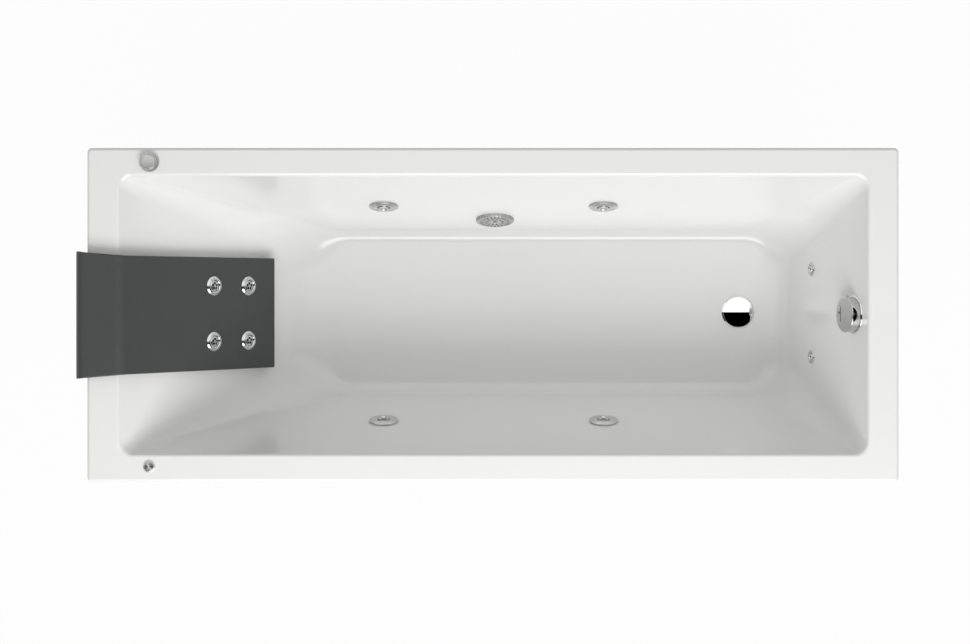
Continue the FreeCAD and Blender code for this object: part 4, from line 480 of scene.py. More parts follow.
def cut_with(bm: bmesh.types.BMesh, tools: bmesh.types.BMesh, operation: str) -> bmesh.types.BMesh:
    """Cuts or joins two meshes exactly and frees both.

    Args:
        bm: the solid.
        tools: what is cut out of it or joined to it.
        operation: DIFFERENCE or UNION.

    Returns:
        The result.
    """
    pair = []
    for source in (bm, tools):
        bmesh.ops.recalc_face_normals(source, faces=source.faces)
        mesh = bpy.data.meshes.new("boolean_part")
        source.to_mesh(mesh)
        source.free()
        pair.append(bpy.data.objects.new("boolean_part", mesh))
        bpy.context.scene.collection.objects.link(pair[-1])
    step = pair[0].modifiers.new("step", "BOOLEAN")
    step.operation, step.solver, step.object = operation, "EXACT", pair[1]
    result = bmesh.new()
    result.from_mesh(frozen_copy(pair[0]))
    for made in pair:
        bpy.data.objects.remove(made)
    return result


def bored(
    bm: bmesh.types.BMesh, holes: Sequence[tuple[Seat, float]], reach: float, segments: int = 64,
) -> bmesh.types.BMesh:
    """Cuts round holes through a mesh.

    Args:
        bm: the solid, which is freed.
        holes: seats and radii.
        reach: how far each cut runs both ways from its seat.
        segments: steps round a hole.

    Returns:
        The holed mesh.
    """
    tools = bmesh.new()
    for seat, radius in holes:
        lathe(tools, [(0, -reach), (radius, -reach), (radius, reach), (0, reach)], seat, segments)
    return cut_with(bm, tools, "DIFFERENCE")


def bar(ends: Sequence[Sequence[Vector]]) -> bmesh.types.BMesh:
    """A solid between two matching outlines.

    Args:
        ends: the two outlines, in millimetres.

    Returns:
        The solid's mesh, in metres.
    """
    bm = bmesh.new()
    first, last = ([bm.verts.new(point / 1000) for point in end] for end in ends)
    for k in range(len(first)):
        after = (k + 1) % len(first)
        bm.faces.new((first[k], first[after], last[after], last[k]))
    bm.faces.new(first)
    bm.faces.new(last)
    return bm


def prism(section: Sequence[Point], span: Point) -> bmesh.types.BMesh:
    """A straight bar along y over a span, its section given as (x, z)."""
    return bar([[Vector((x, y, z)) for x, z in section] for y in span])


def weighted(piece: bpy.types.Object) -> None:
    """Lets large flat faces set the normals, so that they shade flat beside fine rounds.

    Args:
        piece: the piece, which gets a new mesh.
    """
    keep = piece.modifiers.new("weighted", "WEIGHTED_NORMAL")
    keep.keep_sharp = True
    keep.weight = 100
    piece.data = frozen_copy(piece)


# ---------------- the acrylic shell


@dataclass(frozen=True)
class BowlWall:
    """A sloped wall: its edge from the middle at the rim, how far it runs in, and its round at the floor."""

    edge: float
    run: float
    floor_round: float
    depth: float = 410.0
    lip: float = 9.0

    def reach(self, depth: float, skin: float) -> float:
        """How far the wall stands from the middle.

        Args:
            depth: how far below the rim.
            skin: how far outside the inner face.

        Returns:
            The distance in millimetres.
        """
        steep = math.hypot(self.run, self.depth) / self.depth
        round_depth = self.depth - self.floor_round
        round_centre = self.edge - self.run * round_depth / self.depth - self.floor_round * steep
        radius = self.floor_round + skin
        if depth >= round_depth + radius * self.run / (steep * self.depth):
            return round_centre + math.sqrt(max(radius ** 2 - (depth - round_depth) ** 2, TINY))
        if skin == 0 and depth < self.lip * (1 - self.run / (steep * self.depth)):
            centre = self.edge - self.run * self.lip / self.depth + self.lip * steep
            return centre - math.sqrt(max(self.lip ** 2 - (self.lip - depth) ** 2, TINY))
        return self.edge - self.run * depth / self.depth + skin * steep


@dataclass
class AcrylicShell:
    """The rim, its turned-down edge and the bowl, with rolled lips and soft floor rounds."""

    centre: float = 8.25
    rim_top: float = 570.0
    half_length: float = 850.0
    half_width: float = 350.0
    rim_corner: float = 10.0
    edge_round: float = 7.5
    edge_steps: int = 5
    drop: float = 32.0
    wall: float = 5.0
    depth: float = 410.0
    head: BowlWall = BowlWall(784.5, 346, 140)
    foot: BowlWall = BowlWall(786.5, 110, 60)
    side: BowlWall = BowlWall(292, 107, 28)
    opening_corner: float = 28.0
    head_corner_gain: float = 82.0
    foot_corner_gain: float = 62.0
    corner_steps: int = 18
    crease: float = 40.0
    wall_levels: tuple[float, ...] = (300.0, 200.0, 100.0)
    lip_levels: tuple[float, ...] = (9.0, 6.7, 5.4, 4.2, 3.2, 2.3, 1.6, 1.0, 0.6, 0.3, 0.12, 0.03, 0.0)
    floor_rises: tuple[float, ...] = (
        64, 57, 50.4, 45, 40, 36, 32, 28, 24.5, 21, 18, 15.5,
        13, 10.6, 8.4, 6.5, 4.8, 3.4, 2.2, 1.2, 0.5, 0.1, 0,
    )
    side_jet_hole: float = 26.0
    pad_jet_hole: float = 15.0
    foot_jet_hole: float = 11.0
    single_holes: tuple[float, ...] = (30.0, 24.0, 27.0, 10.3, 16.3)
    bore_reach: float = 12.0

    def rectangle(self, spans: Sequence[float], rounds: Point, z: float) -> list[Vector]:
        """One level outline with rounded corners.

        Args:
            spans: its reach to the head, the foot and either side.
            rounds: its corner radii at the head and at the foot.
            z: its height.

        Returns:
            The points, in metres.
        """
        head, foot, side = spans
        head_round, foot_round = rounds
        corners = (
            (foot - foot_round, side - foot_round, foot_round, 0.0),
            (-head + head_round, side - head_round, head_round, 90.0),
            (-head + head_round, -side + head_round, head_round, 180.0),
            (foot - foot_round, -side + foot_round, foot_round, 270.0),
        )
        points = []
        for x, y, radius, start in corners:
            for k in range(self.corner_steps + 1):
                turn = math.radians(start + 90.0 * k / self.corner_steps)
                points.append(Vector((
                    self.centre + x + radius * math.cos(turn), y + radius * math.sin(turn), z,
                )) / 1000)
        return points

    def bowl(self, depth: float, skin: float) -> list[Vector]:
        """The bowl's outline at a depth.

        Args:
            depth: how far below the rim.
            skin: how far outside the inner face.

        Returns:
            The points, in metres.
        """
        head, foot, side = (wall.reach(depth, skin) for wall in (self.head, self.foot, self.side))
        share = depth / self.depth
        corners = []
        for wall, reach, gain in (
            (self.head, head, self.head_corner_gain), (self.foot, foot, self.foot_corner_gain),
        ):
            rounded_off = max(wall.edge - wall.run * share + skin - reach, 0)
            corners.append(self.opening_corner + gain * share + skin - rounded_off)
        return self.rectangle((head, foot, side), corners, self.rim_top - depth)

    def rim(self, inset: float, z: float) -> list[Vector]:
        """The rim's outline, drawn in.

        Args:
            inset: how far.
            z: its height.

        Returns:
            The points, in metres.
        """
        length, width = self.half_length - inset, self.half_width - inset
        corner = max(self.rim_corner - inset, 0.5)
        return self.rectangle((length, length, width), (corner, corner), z)

    def outlines(self) -> list[list[Vector]]:
        """Every level outline, from the floor's inner face up, over the rim and down outside.

        Returns:
            The outlines, each with the same number of points.
        """
        rings = [self.bowl(self.depth - rise, 0) for rise in reversed(self.floor_rises)]
        rings += [self.bowl(depth, 0) for depth in (*self.wall_levels, *self.lip_levels)]
        for k in range(self.edge_steps + 1):
            turn = math.radians(90 / self.edge_steps * k)
            rings.append(self.rim(
                self.edge_round * (1 - math.sin(turn)), self.rim_top - self.edge_round * (1 - math.cos(turn)),
            ))
        under = self.rim_top - self.drop
        rings += [self.rim(0, under + 1), self.rim(1, under), self.rim(self.wall - 1, under)]
        rings += [self.rim(self.wall, under + 1), self.rim(self.wall, self.rim_top - self.wall)]
        rings += [self.bowl(depth, self.wall) for depth in (self.wall, *reversed(self.wall_levels))]
        rings += [self.bowl(self.depth + self.wall - rise, self.wall) for rise in self.floor_rises[::2]]
        return rings

    def build(self) -> None:
        """Makes the shell with its fifteen holes."""
        bm = bmesh.new()
        rows = [[bm.verts.new(point) for point in ring] for ring in self.outlines()]
        count = len(rows[0])
        for lower, upper in zip(rows, rows[1:]):
            for k in range(count):
                after = (k + 1) % count
                bm.faces.new((lower[k], lower[after], upper[after], upper[k]))
        bm.faces.new(rows[0])
        bm.faces.new(rows[-1])
        holes = [(seat, self.side_jet_hole) for seat in SIDE_JETS]
        holes += [(seat, self.pad_jet_hole) for seat in PAD_JETS]
        holes += [(seat, self.foot_jet_hole) for seat in FOOT_JETS]
        holes += zip((SUCTION, OVERFLOW, DRAIN, BUTTON, AIR), self.single_holes)
        bm = bored(bm, holes, self.bore_reach)
        shell = finished("acrylic_tub", bm, "tub", Slot.ACRYLIC, ["bath_shell"], crease=self.crease)
        weighted(shell)


# ---------------- the back pad


@dataclass
class BackPad:
    """The moulded foam pad, hooked over the rim and laid down the backrest."""

    thick: float = 22.0
    gap: float = 0.3
    rim_top: float = 570.0
    slope_x: float = -776.25
    slope_length: float = 422.0
    slope_steps: int = 4
    half_width: float = 124.0
    flare: float = 9.5
    edge: float = 3.0
    edge_steps: int = 5
    edge_angle: float = 50.0
    lip_x: float = -780.43
    lip_z: float = 561.0
    lip_radius: float = 9.0
    lip_steps: int = 14
    shoulder: float = 20.0
    shoulder_steps: int = 12
    hook_x: float = -862.5
    hook_inner: float = -842.05
    hook_low: float = 546.0
    fall: float = 0.7642341
    run: float = 0.644939
    jet_hole: float = 15.3
    bore_reach: float = 60.0

    def slope(self, down: float, above: float) -> Point:
        """A point of the side profile, so far down the backrest and above it."""
        x = self.slope_x + self.run * down + self.fall * above
        return x, self.rim_top - self.fall * down + self.run * above

    def profile(self) -> list[Point]:
        """The closed side outline, the outer face first.

        Returns:
            Its (x, z) points.
        """
        under, inner = self.rim_top + self.gap, self.lip_radius + self.gap
        top, outer = under + self.thick, inner + self.thick
        tilt = math.atan2(self.run, self.fall)
        turns = [math.pi / 2 + (tilt - math.pi / 2) * k / self.lip_steps for k in range(self.lip_steps + 1)]
        points = [(self.hook_x, self.hook_low)]
        for k in range(self.shoulder_steps + 1):
            turn = math.pi / 2 * k / self.shoulder_steps
            x = self.hook_x + self.shoulder - self.shoulder * math.cos(turn)
            points.append((x, top - self.shoulder + self.shoulder * math.sin(turn)))
        points.append((self.lip_x - self.shoulder, top))
        points += [(self.lip_x + outer * math.cos(t), self.lip_z + outer * math.sin(t)) for t in turns]
        downs = [self.slope_length * k / self.slope_steps for k in range(1, self.slope_steps + 1)]
        points += [self.slope(down, self.gap + self.thick) for down in downs]
        points += [self.slope(down, self.gap) for down in reversed(downs)]
        points += [
            (self.lip_x + inner * math.cos(t), self.lip_z + inner * math.sin(t)) for t in reversed(turns)
        ]
        return [*points, (self.hook_inner, under), (self.hook_inner, self.hook_low)]

    def half(self, x: float) -> float:
        """Half of the pad's width at a place along it, which flares over the rim.

        Args:
            x: the place.

        Returns:
            The half width in millimetres.
        """
        start = self.lip_x + 2 * self.thick
        if x >= start:
            return self.half_width
        reach = start - self.hook_x
        radius = (reach ** 2 + self.flare ** 2) / (2 * self.flare)
        return self.half_width + radius - math.sqrt(radius ** 2 - (start - x) ** 2)

    def build(self) -> None:
        """Makes the pad with soft edges and four jet holes."""
        bm = bar([[Vector((x, sign * self.half(x), z)) for x, z in self.profile()] for sign in (-1, 1)])
        bmesh.ops.recalc_face_normals(bm, faces=bm.faces)
        edges = [e for e in bm.edges if e.calc_face_angle(0) > math.radians(self.edge_angle)]
        bmesh.ops.bevel(
            bm, geom=edges, offset=self.edge / 1000, segments=self.edge_steps, profile=0.5, affect="EDGES",
            clamp_overlap=True,
        )
        bm = bored(bm, [(seat, self.jet_hole) for seat in PAD_JETS], self.bore_reach)
        pad = finished("back_cushion", bm, "tub", Slot.FOAM, ["back_pad"], crease=self.edge_angle)
        weighted(pad)


# ---------------- jets


@dataclass(frozen=True)
class JetBall:
    """A bored ball with flat ends, its centre lifted along the jet's axis."""

    radius: float
    back: float
    front: float
    bore: float
    lift: float
    steps: int = 14

    def outline(self) -> list[Point]:
        """The closed ring that lathe turns.

        Returns:
            Its (radius, height) points.
        """
        low, high = -math.asin(self.back / self.radius), math.asin(self.front / self.radius)
        turns = [low + (high - low) * k / self.steps for k in range(self.steps + 1)]
        outline = [(self.radius * math.cos(t), self.lift + self.radius * math.sin(t)) for t in turns]
        face, bore = self.lift + self.front, self.bore
        return [*outline, (1.5 * bore, face), (bore, face - 0.5 * bore), (bore, self.lift - self.back)]


@dataclass
class WallJets:
    """Side jets with flow rings and ball nozzles, pad jets with rotors, and the small foot jets."""

    flow_ring: tuple[Point, ...] = (
        (14, 2.3), (32, 2.3), (32, 3.7), (30, 4.7), (27.4, 4.9), (26.6, 4.3), (23, 5.9), (18, 6.2), (14, 5.2),
    )
    pad_ring: tuple[Point, ...] = (
        (12.3, 22.6), (21.3, 22.6), (21.3, 23.6), (18, 26.2), (14.4, 27.2), (12.3, 26.0),
    )
    foot_ring: tuple[Point, ...] = ((8.5, 0), (15, 0), (15, 1.4), (13, 3.0), (10.4, 3.2), (8.5, 1.6))
    side_ball: JetBall = JetBall(13.4, 10, 4.2, 5.0, 4.8)
    foot_ball: JetBall = JetBall(8, 5, 3.4, 3.4, 0)
    rotor_foot: tuple[Point, ...] = ((0, 17.6), (11.6, 17.6), (12, 18.2))
    dome_radius: float = 12.0
    dome_base: float = 23.6
    dome_rise: float = 2.0
    dome_steps: int = 8
    port_radius: float = 2.9
    port_pitch: float = 5.8
    port_level: float = 23.0
    port_reach: float = 12.0
    ports: int = 5

    def side_jets(self) -> None:
        """Four turning rings, each with its tilting ball."""
        for i, seat in enumerate(SIDE_JETS, start=1):
            bm = turned(eased(self.flow_ring, 0.8), seat)
            nodes = [f"side_jet_ring_{i}"]
            finished(f"side_jet_flow_ring_{i}", bm, f"side_jet_turn_{i}", Slot.CHROME, nodes, BRUSHED)
            bm = turned(self.side_ball.outline(), seat, 48)
            nodes = [f"side_jet_nozzle_{i}"]
            finished(f"side_jet_ball_{i}", bm, f"side_jet_eye_{i}", Slot.CHROME, nodes, BRUSHED)

    def trim_rings(self) -> None:
        """The fixed rings of the pad jets and foot jets, as one piece."""
        bm = bmesh.new()
        for seat in PAD_JETS:
            lathe(bm, eased(self.pad_ring, 0.7), seat, 56)
        for seat in FOOT_JETS:
            lathe(bm, eased(self.foot_ring, 0.5), seat, 48)
        finished("fixed_jet_trims", bm, "tub", Slot.CHROME, ["jet_trim_rings"], BRUSHED)

    def rotors(self) -> None:
        """Low domed rotors with their ports."""
        turns = [math.pi / 2 * k / self.dome_steps for k in range(self.dome_steps)]
        base, rise = self.dome_base, self.dome_rise
        dome = [(self.dome_radius * math.cos(t), base + rise * math.sin(t)) for t in turns]
        outline = [*self.rotor_foot, *dome, (0, base + rise)]
        for i, seat in enumerate(PAD_JETS, start=1):
            ports = []
            for k in range(self.ports):
                turn = 2 * math.pi * k / self.ports
                x, y = self.port_pitch * math.cos(turn), self.port_pitch * math.sin(turn)
                at = seat.matrix() @ Vector((x, y, self.port_level))
                ports.append((Seat(at, seat.facing, seat.across), self.port_radius))
            bm = bored(turned(outline, seat, 48), ports, self.port_reach, 24)
            name, nodes = f"pad_jet_spinner_{i}", [f"pad_jet_rotor_{i}"]
            finished(name, bm, name, Slot.CHROME, nodes, BRUSHED)

    def foot_nozzles(self) -> None:
        """Small bored balls of the foot jets."""
        for i, seat in enumerate(FOOT_JETS, start=1):
            bm = turned(self.foot_ball.outline(), seat, 40)
            finished(f"foot_jet_ball_{i}", bm, f"foot_jet_eye_{i}", Slot.CHROME, [f"foot_jet_nozzle_{i}"])

    def build(self) -> None:
        """Makes every jet's visible pieces."""
        self.side_jets()
        self.trim_rings()
        self.rotors()
        self.foot_nozzles()


# ---------------- suction, waste and overflow


class CopyRing:
    """A Geometry Nodes ring of blocks round an axis, which cut slots or stand as ribs."""

    def __init__(self, name: str) -> None:
        """Builds the group.

        Args:
            name: the node group's name.
        """
        self.group = bpy.data.node_groups.new(name, "GeometryNodeTree")
        face = self.group.interface
        face.new_socket("Geometry", in_out="INPUT", socket_type="NodeSocketGeometry")
        kinds = {
            "Count": "Int", "Radius": "Float", "Height": "Float", "Block": "Vector", "Finish": "Material",
        }
        self.sockets = {
            key: face.new_socket(key, in_out="INPUT", socket_type=f"NodeSocket{kind}").identifier
            for key, kind in kinds.items()
        }
        face.new_socket("Geometry", in_out="OUTPUT", socket_type="NodeSocketGeometry")
        t = NodeTree(self.group)
        given = self.group.nodes.new("NodeGroupInput").outputs
        ring = t.add("GeometryNodeMeshCircle", Vertices=given["Count"], Radius=given["Radius"])
        lift = t.add("ShaderNodeCombineXYZ", Z=given["Height"])
        raised = t.add("GeometryNodeSetPosition", Geometry=ring.outputs[0], Offset=lift.outputs[0])
        block = t.add("GeometryNodeMeshCube", Size=given["Block"]).outputs[0]
        index = t.add("GeometryNodeInputIndex")
        share = t.math("DIVIDE", index.outputs[0], given["Count"])
        turn = t.add("ShaderNodeCombineXYZ", Z=t.math("MULTIPLY", share, 2 * math.pi)).outputs[0]
        points = raised.outputs[0]
        copies = t.add("GeometryNodeInstanceOnPoints", Points=points, Instance=block, Rotation=turn)
        real = t.add("GeometryNodeRealizeInstances", Geometry=copies.outputs[0])
        painted = t.add("GeometryNodeSetMaterial", Geometry=real.outputs[0], Material=given["Finish"])
        out = self.group.nodes.new("NodeGroupOutput")
        self.group.links.new(painted.outputs[0], out.inputs[0])

    def blocks(
        self, count: int, radius: float, height: float, size: Sequence[float], finish: Finish,
    ) -> bmesh.types.BMesh:
        """The ring of blocks in local millimetres.

        Args:
            count: how many blocks.
            radius: their distance from the axis.
            height: their middle along the axis.
            size: length outwards, width and height of one.
            finish: their surface.

        Returns:
            The blocks as a mesh.
        """
        holder = bpy.data.objects.new("ring_of_blocks", bpy.data.meshes.new("ring_of_blocks"))
        bpy.context.scene.collection.objects.link(holder)
        ring = holder.modifiers.new("ring", "NODES")
        ring.node_group = self.group
        for key, value in zip(self.sockets, (count, radius, height, size, finish.material())):
            ring[self.sockets[key]] = value
        result = bmesh.new()
        result.from_mesh(frozen_copy(holder))
        bpy.data.objects.remove(holder)
        return result


@dataclass
class SuctionGrille:
    """The slotted cover of the suction fitting."""

    cover: tuple[Point, ...] = (
        (0, 3), (40.3, 3), (40.3, 0.3), (42.5, 0.3), (42.5, 6.4), (41.2, 7.8), (36, 8.2), (0, 8.2),
    )
    slots: int = 24
    slots_at: float = 31.5
    slot_rings: tuple[Point, ...] = ((42, 3), (31.5, 10), (19, 8))
    slot_width: float = 3.6
    slot_middle: float = 6
    slot_depth: float = 12

    def build(self, rings: CopyRing) -> None:
        """Makes the cover with its radial slots.

        Args:
            rings: the ring of blocks that cuts them.
        """
        bm = turned(eased(self.cover, 0.9), LOCAL, 96)
        bmesh.ops.scale(bm, vec=(1000, 1000, 1000), verts=bm.verts)
        for radius, length in self.slot_rings:
            count = round(self.slots * radius / self.slots_at)
            size = (length, self.slot_width, self.slot_depth)
            # The cutting blocks carry the near-black painted shade of the slot openings.
            bm = cut_with(bm, rings.blocks(count, radius, self.slot_middle, size, SLOT_SHADE), "DIFFERENCE")
        bmesh.ops.transform(bm, matrix=SUCTION.matrix(), verts=bm.verts)
        finished("suction_cover", bm, "tub", Slot.CHROME, ["suction_grille"], DULL, crease=28)


@dataclass
class WasteAndOverflow:
    """The mirror cover of the waste, and the turning overflow knob on its plate."""

    stem: tuple[Point, ...] = ((0, -16), (4.4, -16), (5, -15.4), (5, 2.8))
    cover_edge: tuple[Point, ...] = ((33.6, 2.8), (35, 3.2), (35, 4.4))
    cover_radius: float = 34.7
    cover_top: float = 4.9
    crown: float = 3.0
    crown_steps: int = 16
    plate: tuple[Point, ...] = ((17.8, 0), (41, 0), (41, 1.6), (39.4, 3), (17.8, 3))
    knob_outline: tuple[Point, ...] = (
        (0, -38.4), (6, -38.4), (6, 3.3), (37.4, 3.3), (38, 4.1), (38, 20.6), (36.8, 22), (0, 22),
    )
    knob_hollow: tuple[Point, ...] = ((8, 6), (35.6, 6), (35.6, 19.4), (8, 19.4))
    inlet_width: float = 15.5
    inlet_height: float = 9.5
    inlet_top: float = 20.4
    inlet_steps: int = 16
    inlet_span: Point = (-44, -28)
    grip_slot: tuple[Point, ...] = ((-16, 19.6), (16, 19.6), (16, 23), (-16, 23))
    slot_span: Point = (15.4, 18.4)
    lug: tuple[Point, ...] = ((36, 12), (41.2, 13), (41.2, 17), (36, 18))
    lug_span: Point = (-3, 3)
    screw_hole: tuple[Point, ...] = ((0, 17), (3, 17), (3, 24), (0, 24))
    screw_at: Point = (4, 24)

    def build(self) -> None:
        """Makes the waste cover, the overflow's plate and its knob."""
        shares = [k / self.crown_steps for k in range(self.crown_steps, -1, -1)]
        face = [(self.cover_radius * part, self.cover_top + self.crown * (1 - part ** 2)) for part in shares]
        bm = turned([*self.stem, *self.cover_edge, *face], DRAIN, 128)
        finished("waste_cover", bm, "waste_plug", Slot.CHROME, ["drain_plug"], MIRROR, crease=30)
        bm = turned(eased(self.plate, 0.6), OVERFLOW, 80)
        finished("overflow_backplate", bm, "tub", Slot.CHROME, ["overflow_plate"])
        self.knob()

    def knob(self) -> None:
        """Makes the hollow knob with its inlet, grip slot, screw hole and lug."""
        bm = turned(eased(self.knob_outline, 0.9), LOCAL, 128)
        turns = [math.pi * k / self.inlet_steps for k in range(self.inlet_steps + 1)]
        inlet = [
            (self.inlet_width * math.cos(t), self.inlet_top - self.inlet_height * math.sin(t)) for t in turns
        ]
        bm = cut_with(bm, prism(inlet, self.inlet_span), "DIFFERENCE")
        bm = cut_with(bm, prism(self.grip_slot, self.slot_span), "DIFFERENCE")
        bm = cut_with(bm, prism(self.lug, self.lug_span), "UNION")
        hole = turned(self.screw_hole, LOCAL, 20)
        bmesh.ops.translate(hole, vec=Vector((*self.screw_at, 0)) / 1000, verts=hole.verts)
        bm = cut_with(bm, hole, "DIFFERENCE")
        bm = cut_with(bm, turned(self.knob_hollow, LOCAL, 64), "DIFFERENCE")
        bmesh.ops.transform(bm, matrix=OVERFLOW.matrix() @ Matrix.Scale(1000, 4), verts=bm.verts)
        finished("overflow_turning_knob", bm, "overflow_control", Slot.CHROME, ["overflow_knob"], SATIN)


# ---------------- rim controls


@dataclass
class RimControls:
    """The ribbed air control and the start button in the rim."""

    air_outline: tuple[Point, ...] = (
        (0, -12), (5.3, -12), (5.3, 3.3), (17.6, 3.3), (17.6, 12.4), (16.2, 14.2),
        (15.4, 14.4), (15.0, 13.6), (14.4, 13.6), (14.0, 14.6), (0, 14.9),
    )
    ribs: int = 24
    ribs_at: float = 17.4
    rib_middle: float = 8
    rib_size: tuple[float, float, float] = (1.6, 1.7, 8.0)
    button_outline: tuple[Point, ...] = (
        (0, -3.8), (9, -3.8), (9, 3.6), (8.8, 3.9), (2.2, 3.7), (1.6, 3.3), (0, 3.3),
    )

    def build(self, rings: CopyRing) -> None:
        """Makes the air control's knob with its ribs, and the button.

        Args:
            rings: the ring of blocks that makes the ribs.
        """
        bm = turned(eased(self.air_outline, 0.5), LOCAL, 96)
        bmesh.ops.scale(bm, vec=(1000, 1000, 1000), verts=bm.verts)
        ribs = rings.blocks(self.ribs, self.ribs_at, self.rib_middle, self.rib_size, CHROME)
        bm = cut_with(bm, ribs, "UNION")
        bmesh.ops.transform(bm, matrix=AIR.matrix(), verts=bm.verts)
        finished("air_regulator_knob", bm, "air_regulator", Slot.CHROME, ["air_knob"], DULL, crease=28)
        bm = turned(eased(self.button_outline, 0.12), BUTTON, 64)
        finished("start_push_button", bm, "start_switch", Slot.CHROME, ["start_button"], SPUN)


# ---------------- kept CAD pieces

DULL_NODES = ("air_control_body", "button_housing")


def dress_nodes(nodes: dict[str, bpy.types.Object]) -> None:
    """Gives every CAD node its slot's finish, or the dull chrome.

    Args:
        nodes: the frame's nodes by name.
    """
    record = {slot.value: finish for slot, finish in FINISHES.items()}
    for name, node in sorted(nodes.items()):
        slot_name = node.data.materials[0].name.split(".")[0] if node.data.materials else Slot.FITTING.value
        finish = DULL if name in DULL_NODES else record.get(slot_name, FINISHES[Slot.FITTING])
        node.data.materials.clear()
        node.data.materials.append(finish.material())


# ---------------- studio


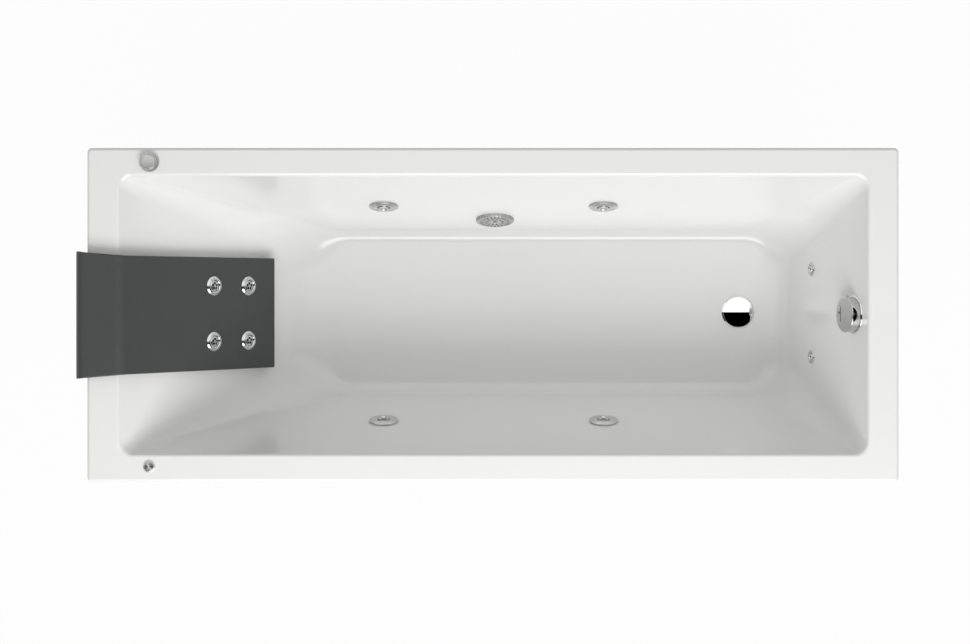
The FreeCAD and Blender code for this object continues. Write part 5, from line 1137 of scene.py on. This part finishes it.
@dataclass
class Studio:
    """Pale floor, soft light and the camera straight above the bath, in metres."""

    rim_top: float = 0.57
    camera_height: float = 3.5
    camera_x: float = -0.00015
    camera_y: float = 0.0563
    lens: float = 62.09
    shift: Point = (-0.0041, -0.035)
    view_limit: float = 60.0
    split: float = -0.0143
    split_soft: float = 0.004
    least_rise: float = 0.05
    ceiling: float = 1.15
    ceiling_band: Point = (0.15, 0.4)
    walls: float = 0.3
    ambient: float = 0.55
    ambient_fall: Point = (0.62, 1.14)
    backdrop: float = 0.96
    key_power: float = 91.0
    key_at: tuple[float, float, float] = (0.3, -2.35, 2.75)
    key_aim: tuple[float, float, float] = (0, 0.1, 0.4)
    key_size: Point = (2.9, 2.0)
    floor_reach: float = 14.0
    floor_drop: float = 0.0005
    floor_tone: Point = (0.54, 0.56)
    floor_shown: float = 0.97

    def world(self) -> None:
        """Light fading towards the horizon, a pale backdrop for the camera, a two-sided room for mirrors."""
        world = bpy.data.worlds.new("studio")
        bpy.context.scene.world = world
        world.use_nodes = True
        t = NodeTree(world.node_tree)
        world.node_tree.nodes.clear()
        path = t.add("ShaderNodeLightPath").outputs
        away = t.add("ShaderNodeTexCoord").outputs["Generated"]
        axes = t.add("ShaderNodeSeparateXYZ", Vector=away).outputs
        lean = t.math("DIVIDE", axes["Y"], t.math("MAXIMUM", axes["Z"], self.least_rise))
        edge = (self.split - self.split_soft, self.split + self.split_soft)
        bright = t.ramp(lean, edge, (0.0, self.ceiling))
        high = t.ramp(axes["Z"], self.ceiling_band, (0.0, 1.0))
        wall = t.math("MULTIPLY", t.math("SUBTRACT", 1.0, high), self.walls)
        room = t.math("ADD", t.math("MULTIPLY", bright, high), wall)
        mirror = t.add("ShaderNodeCombineColor", Red=room, Green=room, Blue=room).outputs[0]
        shown = t.add("ShaderNodeMix", {"data_type": "RGBA"}, _0=path["Is Glossy Ray"])
        shown.inputs[6].default_value = (1.0, 1.0, 0.99, 1.0)
        world.node_tree.links.new(mirror, shown.inputs[7])
        strength = t.math("ADD", t.math("MULTIPLY", path["Is Glossy Ray"], 1.0 - self.ambient), self.ambient)
        fall = t.math("MAXIMUM", t.ramp(axes["Z"], (0.0, 1.0), self.ambient_fall), path["Is Glossy Ray"])
        strength = t.math("MULTIPLY", strength, fall)
        back = t.add("ShaderNodeBackground", Color=shown.outputs[2], Strength=strength)
        plain = t.add("ShaderNodeBackground", Color=(*[self.backdrop] * 3, 1.0), Strength=1.0)
        mix = t.add("ShaderNodeMixShader", _0=path["Is Camera Ray"], _1=back.outputs[0], _2=plain.outputs[0])
        t.add("ShaderNodeOutputWorld", Surface=mix.outputs[0])

    def key_lamp(self) -> None:
        """One soft area light."""
        data = bpy.data.lights.new("key", "AREA")
        data.shape, data.energy = "RECTANGLE", self.key_power
        data.size, data.size_y = self.key_size
        light = bpy.data.objects.new("key", data)
        light.location = self.key_at
        beam = Vector(self.key_aim) - Vector(self.key_at)
        light.rotation_euler = beam.to_track_quat("-Z", "Y").to_euler()
        bpy.context.scene.collection.objects.link(light)

    def floor(self) -> None:
        """A pale ground that keeps the bath's shadow."""
        bm = bmesh.new()
        bmesh.ops.create_grid(bm, x_segments=1, y_segments=1, size=self.floor_reach)
        mesh = bpy.data.meshes.new("floor")
        bm.to_mesh(mesh)
        bm.free()
        floor = bpy.data.objects.new("floor", mesh)
        floor.location.z = -self.floor_drop
        bpy.context.scene.collection.objects.link(floor)
        material = bpy.data.materials.new("pale_ground")
        material.use_nodes = True
        t = NodeTree(material.node_tree)
        material.node_tree.nodes.clear()
        path = t.add("ShaderNodeLightPath").outputs
        cloud = t.add("ShaderNodeTexNoise", Vector=t.add("ShaderNodeTexCoord").outputs["Object"], Scale=2.0)
        shade = t.ramp(cloud.outputs[0], (0.0, 1.0), self.floor_tone)
        tone = t.add("ShaderNodeCombineColor", Red=shade, Green=shade, Blue=shade).outputs[0]
        matt = t.add("ShaderNodeBsdfDiffuse", Color=tone)
        lit = t.add("ShaderNodeEmission", Color=(1.0, 1.0, 1.0, 1.0), Strength=1.0)
        shown = t.math("MAXIMUM", path["Is Camera Ray"], path["Is Glossy Ray"])
        shown = t.math("MAXIMUM", shown, path["Is Transmission Ray"])
        share = t.math("MULTIPLY", shown, self.floor_shown)
        mix = t.add("ShaderNodeMixShader", _0=share, _1=matt.outputs[0], _2=lit.outputs[0])
        t.add("ShaderNodeOutputMaterial", Surface=mix.outputs[0])
        mesh.materials.append(material)

    def camera(self) -> None:
        """The camera of the photograph, looking straight down."""
        data = bpy.data.cameras.new("camera")
        data.sensor_width, data.lens, data.clip_end = 36.0, self.lens, self.view_limit
        data.shift_x, data.shift_y = self.shift
        camera = bpy.data.objects.new("camera", data)
        camera.location = (self.camera_x, self.camera_y, self.rim_top + self.camera_height)
        bpy.context.scene.collection.objects.link(camera)
        bpy.context.scene.camera = camera

    def build(self) -> None:
        """Sets up everything that isn't part of the bath."""
        self.world()
        self.floor()
        self.key_lamp()
        self.camera()
        bpy.context.scene.view_settings.view_transform = "Standard"


def main() -> None:
    """Builds the whole scene."""
    logging.basicConfig(level=logging.INFO, format="%(message)s")
    for thing in list(bpy.data.objects):
        bpy.data.objects.remove(thing)
    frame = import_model()
    dress_nodes(frame["nodes"])
    AcrylicShell().build()
    BackPad().build()
    rings = CopyRing("Ring of blocks")
    WallJets().build()
    SuctionGrille().build(rings)
    WasteAndOverflow().build()
    RimControls().build(rings)
    Studio().build()


if __name__ == "__main__":
    main()
